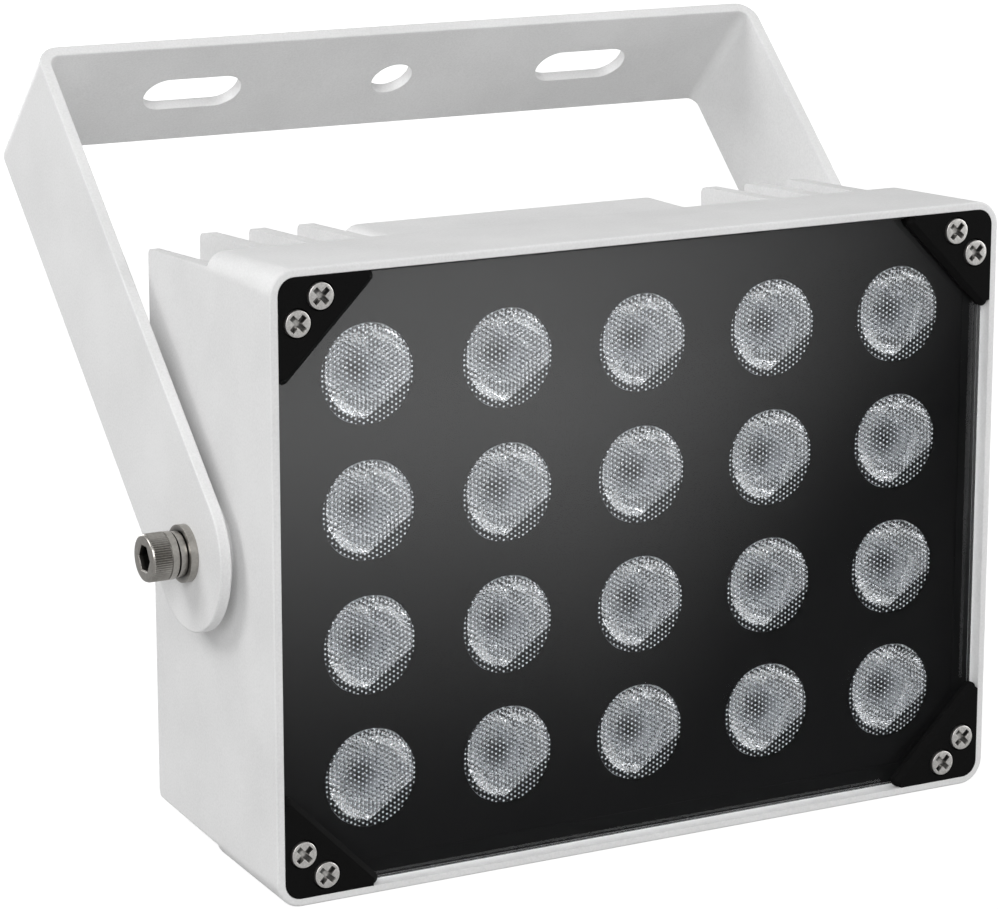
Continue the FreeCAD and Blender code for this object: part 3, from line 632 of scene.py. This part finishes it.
PAN_R = 2.72 * MM
PAN_HEIGHT = 1.35 * MM
PAN_CROWN = 0.14 * MM
M3_R = 1.5 * MM
M3_LENGTH = 10.0 * MM
M3_TIP = 0.4 * MM
RECESS_FOOT = (0.8, 0.72, 1)         # size of a wing's foot as shares of its mouth
RECESS_OVERRUN = 0.2                 # of its depth, by which the cutting bar stands above the head
RECESS_SHADE = (0.11, 0.36)          # shares of the span at which the cross's painted shade starts, and is full


def rounded_edge(radius, height, rounding, steps, sink=0.0):
    """Rings of a turned edge's quarter round, without its first one; sink draws them all in."""
    rings = []
    for step in range(1, steps + 1):
        angle = QUARTER_TURN * step / steps
        rings.append((radius - rounding - sink + rounding * math.cos(angle),
                      height - rounding + rounding * math.sin(angle)))
    return rings


def pan_head(settings):
    """Pan-head screw along Z, underside of the head at the origin, tapered cross recess."""
    rings = [(M3_R - M3_TIP, -M3_LENGTH), (M3_R, M3_TIP - M3_LENGTH), (M3_R, 0), (PAN_R, 0),
             (PAN_R, PAN_HEIGHT - PAN_CROWN)]
    piece = turned_bar(48, rings + rounded_edge(PAN_R, PAN_HEIGHT, PAN_CROWN, 3))
    for turn in (0, QUARTER_TURN):
        cut_with(piece, recess_bar(settings, turn))
    recalculate(piece)
    smooth_by_angle(piece)
    # Painted shade on the cross's floor, darker from its middle outwards
    floor_z = PAN_HEIGHT - settings.recess_depth
    inner, outer = [share * settings.recess_span for share in RECESS_SHADE]
    shares = [(v.co.xy.length - inner) / (outer - inner) * (abs(v.co.z - floor_z) < TINY)
              for v in piece.data.vertices]
    store(piece, "recess", [min(1.0, max(0.0, share)) for share in shares])
    return piece


def recess_bar(settings, turn):
    """Tapered bar that cuts two wings of the cross recess."""
    clear_selection()
    depth = settings.recess_depth
    height = (1 + RECESS_OVERRUN) * depth
    bpy.ops.mesh.primitive_cube_add(size=1.0, location=(0, 0, PAN_HEIGHT - depth + height / 2))
    bar = bpy.context.object
    bar.scale = (settings.recess_span, settings.recess_bar, height)
    bar.rotation_euler = (0, 0, turn)
    bpy.ops.object.transform_apply(location=True, rotation=True, scale=True)
    start_edit(bar)
    pick(bar, "polygons", lambda f: f.normal.z < -0.5)
    bpy.ops.transform.resize(value=RECESS_FOOT)
    end_edit()
    return bar


CAP_R = 5.0 * MM
CAP_HEIGHT = 6.0 * MM
CAP_FOOT = 0.15 * MM         # bevel round the head's underside
CAP_ROUNDING = 0.5 * MM
CAP_STEP = 0.1 * MM          # from the knurl in to the rounded edge
M6_R = 3.0 * MM
M6_TIP = 0.6 * MM
GROOVE_START = 1.5 * MM      # heights on the head: a fine groove, then the knurled band
GROOVE_END = 1.68 * MM
GROOVE_DEPTH = 0.16 * MM
GROOVE_FLANK = 0.04 * MM
KNURL_END = 5.35 * MM
KNURL_RUNOUT = 0.12 * MM
KNURL_DEPTH = 0.28 * MM
KNURL_SHADE = 0.19           # recess attribute of a knurl's valley, which gives it painted shade
SOCKET_CORNER_R = 2.5 * MM / math.cos(math.pi / 6)
SOCKET_DEPTH = 3.2 * MM
SOCKET_FLARE = 0.4 * MM
SOCKET_FLARE_DEPTH = 0.28 * MM
WASHER_MIDDLE_R = 4.3 * MM
WASHER_SHARE = 0.86          # split washer's outer radius as a share of the CAD's


def cap_rings(length):
    """Rings of the socket screw's turned body, from its tip to its head."""
    groove_r = CAP_R - GROOVE_DEPTH
    rings = [(M6_R - M6_TIP, -length), (M6_R, M6_TIP - length), (M6_R, 0),
             (CAP_R - CAP_FOOT, 0), (CAP_R, CAP_FOOT), (CAP_R, GROOVE_START),
             (groove_r, GROOVE_START + GROOVE_FLANK), (groove_r, GROOVE_END),
             (CAP_R, GROOVE_END + GROOVE_FLANK), (CAP_R, KNURL_END),
             (CAP_R - CAP_STEP, KNURL_END + KNURL_RUNOUT)]
    return rings + rounded_edge(CAP_R, CAP_HEIGHT, CAP_ROUNDING, 4, CAP_STEP)


def socket_screw(settings, length):
    """Socket head screw along Z, underside of the head at the origin, knurled band and hexagon socket."""
    piece = turned_bar(2 * settings.ridges, cap_rings(length))
    step = math.pi / settings.ridges
    start_edit(piece, "VERT")
    pick(piece, "vertices", lambda v: GROOVE_END < v.co.z < KNURL_END + TINY
         and v.co.xy.length > CAP_R - CAP_STEP and round(math.atan2(v.co.y, v.co.x) / step) % 2)
    share = 1 - KNURL_DEPTH / CAP_R
    bpy.ops.transform.resize(value=(share, share, 1))
    end_edit()
    cut_with(piece, turned_bar(6, [(SOCKET_CORNER_R, CAP_HEIGHT - SOCKET_DEPTH),
                                   (SOCKET_CORNER_R, CAP_HEIGHT - SOCKET_FLARE_DEPTH),
                                   (SOCKET_CORNER_R + SOCKET_FLARE, CAP_HEIGHT),
                                   (SOCKET_CORNER_R + SOCKET_FLARE, CAP_HEIGHT + MM)]))
    recalculate(piece)
    smooth_by_angle(piece)
    # Painted shade in the knurl's valleys and in the socket
    points = [v.co.copy() for v in piece.data.vertices]
    valleys = [GROOVE_START < p.z < KNURL_END + TINY and p.xy.length < CAP_R - CAP_STEP for p in points]
    socket = [p.xy.length < SOCKET_CORNER_R + TINY
              and CAP_HEIGHT - SOCKET_DEPTH - TINY < p.z < CAP_HEIGHT - SOCKET_FLARE for p in points]
    store(piece, "recess", [KNURL_SHADE * a + b for a, b in zip(valleys, socket)])
    return piece


def fit_split_washer(washer):
    """Draws a split washer's outer edge in to the screw's head, and paints shade on its bore."""
    centre = middle_of("pivot_screw_right")
    start_edit(washer, "VERT")
    pick(washer, "vertices", lambda v: (v.co - centre).yz.length > WASHER_MIDDLE_R)
    scale_selected(1, WASHER_SHARE, WASHER_SHARE, centre)
    end_edit()
    shade_bore(washer)


def shade_bore(washer):
    """Paints shade on a washer's bore: marks it as recessed, so that its colour darkens towards the screw.
    """
    centre = middle_of("pivot_screw_right")
    reaches = [(v.co - centre).yz.length for v in washer.data.vertices]
    store(washer, "recess", [float(reach < WASHER_MIDDLE_R) for reach in reaches])


# Operators

class ILLUMINATOR_OT_housing(bpy.types.Operator):
    """Cast housing with its powder coat"""
    bl_idname = "illuminator.housing"
    bl_label = "Cast housing"

    def execute(self, context):
        coat = powder_coat("Polyester powder coat on die-cast aluminium", context.scene.illuminator_coat)
        merged_copy("housing", "cast_housing", coat, HOUSING)
        return {"FINISHED"}


class ILLUMINATOR_OT_bracket(bpy.types.Operator):
    """Folded steel bracket with its powder coat"""
    bl_idname = "illuminator.bracket"
    bl_label = "Folded bracket"

    def execute(self, context):
        coat = powder_coat("Polyester powder coat on folded steel", context.scene.illuminator_coat)
        merged_copy("bracket", "folded_bracket", coat, BRACKET)
        return {"FINISHED"}


class ILLUMINATOR_OT_window(bpy.types.Operator):
    """Toughened glass window on its rubber gasket"""
    bl_idname = "illuminator.window"
    bl_label = "Window"

    def execute(self, context):
        paint(["window"], window_glass())
        # Dull black with hardly a highlight
        rubber = finish("Black neoprene rubber, cut sheet", linear("#0E0E0E"), linear("#0C0C0C"),
                        0.5 * MM, 0, 0.75, specular=0.1)
        merged_copy("window_gasket", "cut_gasket", rubber, HOUSING, fit_gasket)
        return {"FINISHED"}


def corner_reach(points, middle):
    """Half width and height of an outline with cut corners, and how far along each side the cuts stand."""
    wide = max(abs(p.x) for p in points)
    high = max(abs(p.z - middle) for p in points)
    along_side = max(abs(p.z - middle) for p in points if abs(p.x) > wide - TINY)
    along_top = max(abs(p.x) for p in points if abs(p.z - middle) > high - TINY)
    return wide, high, along_side, along_top


GASKET_SET_BACK = 0.1 * MM


def fit_gasket(gasket):
    """Draws the gasket's inner edge in to the lens plate, and sets its front a hair behind the glass."""
    middle = middle_of("window_gasket").z
    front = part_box("window_gasket")[0].y
    outer_w, outer_h = corner_reach([v.co for v in gasket.data.vertices], middle)[:2]
    inner = [v.co for v in gasket.data.vertices
             if abs(v.co.x) < outer_w - TINY and abs(v.co.z - middle) < outer_h - TINY]
    wide, high, along_side, along_top = corner_reach(inner, middle)
    plate = corner_reach([v.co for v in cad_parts["lens_plate"].data.vertices], middle)
    start_edit(gasket, "VERT")
    pick(gasket, "vertices", lambda v: abs(abs(v.co.x) - wide) < TINY and abs(v.co.z - middle) < high - TINY)
    scale_selected(plate[0] / wide, 1, plate[2] / along_side, (0, 0, middle))
    pick(gasket, "vertices", lambda v: abs(abs(v.co.z - middle) - high) < TINY and abs(v.co.x) < wide - TINY)
    scale_selected(plate[3] / along_top, 1, plate[1] / high, (0, 0, middle))
    pick(gasket, "vertices", lambda v: v.co.y < front + TINY)
    bpy.ops.transform.translate(value=(0, GASKET_SET_BACK, 0))
    end_edit()


OPENING = (85.25 * MM, 63.75 * MM)   # half width and height of the rim's opening
CLAMP_LEG = 21.3 * MM
CLAMP_PLAIN = 17.5 * MM      # sum of both distances from the corner, up to which a clamp stays as it is
CLAMP_BEVEL = 1.0 * MM
SEAT_RADIUS = 3.1 * MM
SEAT_DEPTH = 0.9 * MM
SCREW_INSETS = (9.3 * MM, 4.2 * MM)  # from the opening's two walls, and the other way about


class ILLUMINATOR_OT_corner_clamps(bpy.types.Operator):
    """Black corner clamps that hold the window, sunk for the screws' heads"""
    bl_idname = "illuminator.corner_clamps"
    bl_label = "Corner clamps"

    def execute(self, context):
        # Matt black that takes a faint line of light on its edges only
        black = finish("Black anodised aluminium, stamped", linear("#161616"), linear("#131313"),
                       0.4 * MM, 0.004 * MM, 0.6, specular=0.02, edge=0.15 * MM)
        for node in nodes_named("corner_clamp"):
            merged_copy(node, node.replace("corner", "stamped"), black, HOUSING, fit_clamp)
        return {"FINISHED"}


def fit_clamp(clamp):
    """Fits a clamp to the opening's walls, draws its long edge out and sinks a seat for each screw."""
    middle = middle_of("window").z
    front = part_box("housing")[0].y
    half_w, half_h = OPENING
    reach_x = max(abs(v.co.x) for v in clamp.data.vertices)
    reach_z = max(abs(v.co.z - middle) for v in clamp.data.vertices)
    start_edit(clamp, "VERT")
    select_all()
    scale_selected((half_w - TINY) / reach_x, 1, (half_h - TINY) / reach_z, (0, 0, middle))
    end_edit()
    corner_x = max((v.co.x for v in clamp.data.vertices), key=abs)
    corner_z = max((v.co.z for v in clamp.data.vertices), key=lambda z: abs(z - middle))
    share = CLAMP_LEG / max(abs(v.co.x - corner_x) for v in clamp.data.vertices)

    def along_wall(place):
        apart = sorted((abs(place.x - corner_x), abs(place.z - corner_z)))
        return sum(apart) < CLAMP_PLAIN or apart[0] < TINY

    start_edit(clamp, "VERT")
    pick(clamp, "vertices", lambda v: TINY < v.co.y - front < CLAMP_BEVEL + TINY and along_wall(v.co))
    scale_selected(1, 0, 1, (0, front, 0))
    pick(clamp, "vertices", lambda v: abs(v.co.x - corner_x) + abs(v.co.z - corner_z) > CLAMP_PLAIN)
    scale_selected(share, 1, share, (corner_x, 0, corner_z))
    end_edit()
    for x, z, _turn in clamp_screw_places():
        if abs(x - corner_x) + abs(z - corner_z) < CLAMP_PLAIN:
            seat = turned_bar(48, [(SEAT_RADIUS, -SEAT_DEPTH), (SEAT_RADIUS, MM)])
            seat.data.transform(facing_front(x, front, z))
            cut_with(clamp, seat)


class ILLUMINATOR_OT_clamp_screws(bpy.types.Operator):
    """Eight pan-head screws in the corner clamps"""
    bl_idname = "illuminator.clamp_screws"
    bl_label = "Clamp screws"

    def execute(self, context):
        settings = context.scene.illuminator_screws
        # Satin silver, slightly warm and uneven from the die, with painted shade in the cross recess
        nickel = finish("Nickel-plated steel, cold headed", colour_of(settings.steel), linear("#CBC9C6"),
                        0.35 * MM, 0.012 * MM, 0.42, metallic=1.0, edge=0.08 * MM, painted_shade=0.8)
        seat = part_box("housing")[0].y + SEAT_DEPTH
        first = pan_head(settings)
        for number, (x, z, turn) in enumerate(clamp_screw_places(), 1):
            matrix = facing_front(x, seat, z) @ Matrix.Rotation(math.radians(turn), 4, "Z")
            settle(copy_of(first, matrix), "pan_head_screw_%d" % number, nickel, HOUSING,
                   ["clamp_screws"])
        bpy.data.objects.remove(first)
        return {"FINISHED"}


def clamp_screw_places():
    """Place of each clamp screw, from the window's opening, and its turn in degrees."""
    half_w, half_h = OPENING
    middle = middle_of("window").z
    places = []
    for sx, sz in ((-1, 1), (1, 1), (-1, -1), (1, -1)):
        for aside, above in (SCREW_INSETS, SCREW_INSETS[::-1]):
            places.append((sx * (half_w - aside), middle + sz * (half_h - above), 42 + 3 * len(places) % 7))
    return places


class ILLUMINATOR_OT_lenses(bpy.types.Operator):
    """Twenty beaded lenses, and the black plate round them"""
    bl_idname = "illuminator.lenses"
    bl_label = "Lenses"

    def execute(self, context):
        settings = context.scene.illuminator_lens
        clear = beaded_acrylic(settings)
        first = one_lens(settings)
        for node in nodes_named("lens_"):
            if node == "lens_plate":
                continue
            middle = middle_of(node)
            place = facing_front(middle.x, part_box(node)[0].y, middle.z)
            settle(copy_of(first, place), "beaded_" + node, clear, HOUSING, [node])
        bpy.data.objects.remove(first)
        # Deep black without a highlight, because the spark texture scatters the light
        black = finish("Black ABS, spark-textured moulding", linear("#0C0C0C"), linear("#0A0A0A"),
                       0.3 * MM, 0, 0.7, specular=0.1)
        paint(["lens_plate"], black)
        return {"FINISHED"}


# Starts of nodes' names; material, its two colours, grain and relief in millimetres, roughness, metallic
EMITTER_BOARD = {
    # Bright ground behind the lenses
    ("led_board",): ("White solder mask, screen printed", "#CBCDD0", "#C3C5C8", 0.8, 0.006, 0.4, 0.0),
    # Dark, smooth dome with a small highlight
    ("led_emitters",): ("Clear silicone, cast over a die", "#3C3E42", "#34363A", 0.6, 0.003, 0.2, 0.0),
    # Dull grey
    ("thermal_pad",): ("Filled silicone, cast sheet", "#9A9DA0", "#8C8F93", 0.4, 0.02, 0.8, 0.0),
    # Cool, bright metal
    ("board_screws", "driver_screws"):
        ("Zinc-plated steel, cold headed", "#B9BABC", "#A9AAAD", 0.5, 0.004, 0.35, 1.0),
}
DRIVER = {
    # Semi-gloss green
    ("driver_board",): ("Green solder mask on glass epoxy", "#1F5B34", "#1A4F2C", 1.2, 0.01, 0.35, 0.0),
    # Dark and stony
    ("driver_inductor",): ("Ferrite, pressed and sintered", "#2B2B2D", "#232325", 0.3, 0.02, 0.6, 0.0),
    # Bright, smooth metal
    ("driver_capacitors",): ("Aluminium, deep drawn", "#B4B6BA", "#A6A8AD", 0.6, 0.004, 0.3, 1.0),
    # Satin green
    ("driver_terminal",): ("Green polyamide, moulded", "#2E7D4A", "#286F41", 0.5, 0.01, 0.45, 0.0),
    # Dull brick red
    ("lead_",): ("Red silicone rubber, extruded", "#8F2A22", "#7F241D", 0.5, 0.01, 0.55, 0.0),
}


def paint_inside(table):
    """Gives pieces inside the housing their finishes."""
    for starts, (name, colour, second, grain, relief, roughness, metallic) in table.items():
        material = finish(name, linear(colour), linear(second), grain * MM, relief * MM, roughness, metallic)
        for start in starts:
            paint(nodes_named(start), material)


class ILLUMINATOR_OT_boards(bpy.types.Operator):
    """Emitters, their board, its heat pad and the screws inside"""
    bl_idname = "illuminator.boards"
    bl_label = "Emitter board"

    def execute(self, context):
        paint_inside(EMITTER_BOARD)
        return {"FINISHED"}


class ILLUMINATOR_OT_driver(bpy.types.Operator):
    """Driver board with its parts and the two leads"""
    bl_idname = "illuminator.driver"
    bl_label = "Driver"

    def execute(self, context):
        paint_inside(DRIVER)
        return {"FINISHED"}


class ILLUMINATOR_OT_pivot_screws(bpy.types.Operator):
    """Two knurled socket screws on which the bracket tilts, with their washers"""
    bl_idname = "illuminator.pivot_screws"
    bl_label = "Pivot screws"

    def execute(self, context):
        settings = context.scene.illuminator_screws
        # Warm grey satin metal, with painted shade in the knurl, the socket and the washers' bores
        steel = finish("Stainless steel, turned and knurled", colour_of(settings.pivot), linear("#A19E99"),
                       0.6 * MM, 0, 0.30, metallic=1.0, edge=0.08 * MM, painted_shade=0.8)
        low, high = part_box("pivot_screw_right")
        first = socket_screw(settings, high.x - low.x - CAP_HEIGHT)
        centre = (low + high) / 2
        for side, name in ((-1, "left"), (1, "right")):
            place = Matrix.Translation((side * (high.x - CAP_HEIGHT), centre.y, centre.z))
            turn = Matrix.Rotation(side * QUARTER_TURN, 4, "Y")
            settle(copy_of(first, place @ turn), "socket_screw_" + name, steel, HOUSING,
                   ["pivot_screw_" + name])
            for old, new, change in (("flat_washer_", "plain_washer_", shade_bore),
                                     ("spring_washer_", "split_washer_", fit_split_washer)):
                merged_copy(old + name, new + name, steel, HOUSING, change)
        bpy.data.objects.remove(first)
        return {"FINISHED"}


class ILLUMINATOR_OT_gland(bpy.types.Operator):
    """Cable gland in the rear wall"""
    bl_idname = "illuminator.gland"
    bl_label = "Cable gland"

    def execute(self, context):
        # Satin black with soft edges
        nylon = finish("Black polyamide, moulded", linear("#1E1E1F"), linear("#19191A"), 0.5 * MM, 0.01 * MM,
                       0.42, edge=0.2 * MM)
        # Dull black
        rubber = finish("Black neoprene rubber, moulded", linear("#161616"), linear("#121212"), 0.4 * MM,
                        0.01 * MM, 0.7)
        for node in ("gland_body", "gland_cap"):
            merged_copy(node, node.replace("gland_", "moulded_gland_"), nylon, HOUSING)
        paint(["gland_locknut"], nylon)
        paint(["gland_seal"], rubber)
        return {"FINISHED"}


class ILLUMINATOR_OT_stage(bpy.types.Operator):
    """Floor, lamps, background and camera"""
    bl_idname = "illuminator.stage"
    bl_label = "Stage"

    def execute(self, context):
        settings = context.scene.illuminator_stage
        context.scene.view_settings.view_transform = "Standard"
        floor(settings)
        reflection_card()
        background(settings)
        lamps(settings)
        camera(settings)
        return {"FINISHED"}


def seen_directly(tree):
    """Share that is 1 for rays from the camera, a smooth mirror or a clear solid."""
    path = add_node(tree, "ShaderNodeLightPath")
    mirror = calculate(tree, "MULTIPLY", path.outputs["Is Glossy Ray"], path.outputs["Is Singular Ray"])
    share = calculate(tree, "MAXIMUM", path.outputs["Is Camera Ray"], mirror)
    return calculate(tree, "MAXIMUM", share, path.outputs["Is Transmission Ray"])


FLOOR_GLOW = 0.20            # what lifts the floor for the light it gives off
FLOOR_WHITE = (0.84, 1.0)    # what lifts it to white for the eye, near and far
FLOOR_FAR = (0.5, 1.5)       # metres from the part over which near goes over to far


def stage_plane(name, size, place, material):
    """Square on the stage, with its place in its mesh."""
    clear_selection()
    bpy.ops.mesh.primitive_plane_add(size=size, location=place)
    plane = bpy.context.object
    plane.name = name
    bpy.ops.object.transform_apply(location=True)
    plane.data.materials.append(material)
    return plane


def floor(settings):
    """Pale floor that goes white where nothing shades it."""
    colour = colour_of(settings.floor)
    material, tree = new_material("Matt white sweep", colour)
    lit = add_node(tree, "ShaderNodeBsdfDiffuse", {"Color": colour})
    away = add_node(tree, "ShaderNodeVectorMath", {0: object_coordinates(tree)}, operation="LENGTH")
    white = remap(tree, away.outputs["Value"], FLOOR_FAR, FLOOR_WHITE)
    lift = remap(tree, seen_directly(tree), (0, 1), (FLOOR_GLOW, white))
    glow = add_node(tree, "ShaderNodeEmission", {"Color": linear("#FFFFFF"), "Strength": lift})
    close_material(tree, add_node(tree, "ShaderNodeAddShader", {0: lit, 1: glow}))
    stage_plane("floor", 12.0, (0, 0, CAD_BOX[0][2]), material)


CARD_SIZE = 4.0              # metres
CARD_LIFT = 1.0 * MM
CARD_WHITE_AT = 0.42         # metres in front of the glass
CARD_NEAREST = 0.02          # metres, so that no distance divides by nothing
CARD_SIDE = (0.45, 0.98)     # metres to the right per metre in front: the card starts to darken, is black
WINDOW_DEPTH = 3.5           # a ray that has gone through more surfaces than this has left a lens


def reflection_card():
    """Card on the floor that only mirrors see: black at the part's foot and to the right, white far away."""
    low = CAD_BOX[0]
    middle = (0, low[1] - CARD_SIZE / 2, low[2] + CARD_LIFT)
    material, tree = new_material("Black card, airbrushed to white", linear("#000000"))
    place = add_node(tree, "ShaderNodeSeparateXYZ", {"Vector": object_coordinates(tree)})
    away = calculate(tree, "SUBTRACT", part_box("window")[0].y, place.outputs["Y"])
    near = remap(tree, away, (0, CARD_WHITE_AT), (0, 1), smooth=True)
    slope = calculate(tree, "DIVIDE", place.outputs["X"], calculate(tree, "MAXIMUM", away, CARD_NEAREST))
    side = remap(tree, slope, CARD_SIDE, (1, 0), smooth=True)
    share = calculate(tree, "MULTIPLY", near, side)
    glow = add_node(tree, "ShaderNodeEmission", {"Color": linear("#FFFFFF"), "Strength": share})
    clear = add_node(tree, "ShaderNodeBsdfTransparent")
    path = add_node(tree, "ShaderNodeLightPath")
    shallow = calculate(tree, "LESS_THAN", path.outputs["Transmission Depth"], WINDOW_DEPTH)
    from_window = calculate(tree, "MULTIPLY", shallow, path.outputs["Is Singular Ray"])
    close_material(tree, mix_shaders(tree, from_window, clear, glow))
    card = stage_plane("reflection_card", CARD_SIZE, middle, material)
    card.visible_camera = False
    card.visible_diffuse = False
    card.visible_shadow = False


def background(settings):
    """Even light from all round, white where it is seen."""
    world = bpy.data.worlds.new("White studio")
    bpy.context.scene.world = world
    world.use_nodes = True
    tree = world.node_tree
    tree.nodes.clear()
    level = remap(tree, seen_directly(tree), (0, 1), (settings.ambient, 1))
    path = add_node(tree, "ShaderNodeLightPath")
    sheen = calculate(tree, "MULTIPLY", path.outputs["Is Glossy Ray"], settings.sheen)
    shade = add_node(tree, "ShaderNodeBackground",
                     {"Color": linear("#FFFFFF"), "Strength": calculate(tree, "MAXIMUM", level, sheen)})
    add_node(tree, "ShaderNodeOutputWorld", {"Surface": shade})


def area_lamp(name, place, aim, width, power):
    """Square soft lamp that faces a point."""
    data = bpy.data.lights.new(name, "AREA")
    data.shape = "SQUARE"
    data.size = width
    data.energy = power
    lamp = bpy.data.objects.new(name, data)
    bpy.context.scene.collection.objects.link(lamp)
    lamp.location = place
    lamp.rotation_euler = (Vector(aim) - Vector(place)).to_track_quat("-Z", "Y").to_euler()
    lamp.visible_camera = False


# Place in metres, width in metres and power in watts of each soft lamp
LAMPS = {
    "front_left": ((-0.9, -1.2, 0.9), 0.9, 15.3),
    "upper_left": ((-1.2, 0.4, 1.2), 0.8, 11.4),
    "right": ((1.6, -0.5, 0.5), 1.2, 19.2),
    "back": ((0.0, 1.7, 0.35), 1.0, 12.0),
}


def lamps(settings):
    """Soft lamps on all four sides, the strongest at the front left and the right."""
    middle = middle_of("housing")
    for name, (place, width, power) in LAMPS.items():
        area_lamp(name, place, middle, width, power * settings.power)


def camera(settings):
    """Camera at the photograph's viewing angle."""
    data = bpy.data.cameras.new("camera")
    data.sensor_width = 36.0
    data.sensor_fit = "HORIZONTAL"
    data.lens = settings.lens
    data.clip_start = 0.01
    viewer = bpy.data.objects.new("camera", data)
    bpy.context.scene.collection.objects.link(viewer)
    viewer.location = settings.place
    viewer.rotation_euler = (QUARTER_TURN - settings.pitch, 0, -settings.yaw)
    bpy.context.scene.camera = viewer


class ILLUMINATOR_PT_panel(bpy.types.Panel):
    """Panel that lists the pieces"""
    bl_idname = "ILLUMINATOR_PT_panel"
    bl_label = "Infrared illuminator"
    bl_space_type = "VIEW_3D"
    bl_region_type = "UI"
    bl_category = "Illuminator"

    def draw(self, context):
        layout = self.layout
        for operator in OPERATORS:
            layout.operator(operator.bl_idname)
        for name in SETTINGS:
            group = getattr(context.scene, name)
            for item in group.bl_rna.properties:
                if item.identifier not in ("rna_type", "name"):
                    layout.prop(group, item.identifier)


SETTINGS = {"illuminator_coat": CoatSettings, "illuminator_lens": LensSettings,
            "illuminator_screws": ScrewSettings, "illuminator_stage": StageSettings}
OPERATORS = (ILLUMINATOR_OT_stage, ILLUMINATOR_OT_housing, ILLUMINATOR_OT_bracket, ILLUMINATOR_OT_window,
             ILLUMINATOR_OT_corner_clamps, ILLUMINATOR_OT_clamp_screws, ILLUMINATOR_OT_lenses,
             ILLUMINATOR_OT_boards, ILLUMINATOR_OT_driver, ILLUMINATOR_OT_pivot_screws,
             ILLUMINATOR_OT_gland)


def register():
    for name, group in SETTINGS.items():
        bpy.utils.register_class(group)
        setattr(bpy.types.Scene, name, PointerProperty(type=group))
    for operator in OPERATORS:
        bpy.utils.register_class(operator)
    bpy.utils.register_class(ILLUMINATOR_PT_panel)


def unregister():
    bpy.utils.unregister_class(ILLUMINATOR_PT_panel)
    for operator in reversed(OPERATORS):
        bpy.utils.unregister_class(operator)
    for name, group in SETTINGS.items():
        delattr(bpy.types.Scene, name)
        bpy.utils.unregister_class(group)


def main():
    register()
    for operator in OPERATORS:
        group, name = operator.bl_idname.split(".")
        getattr(getattr(bpy.ops, group), name)()


if __name__ == "__main__":
    main()
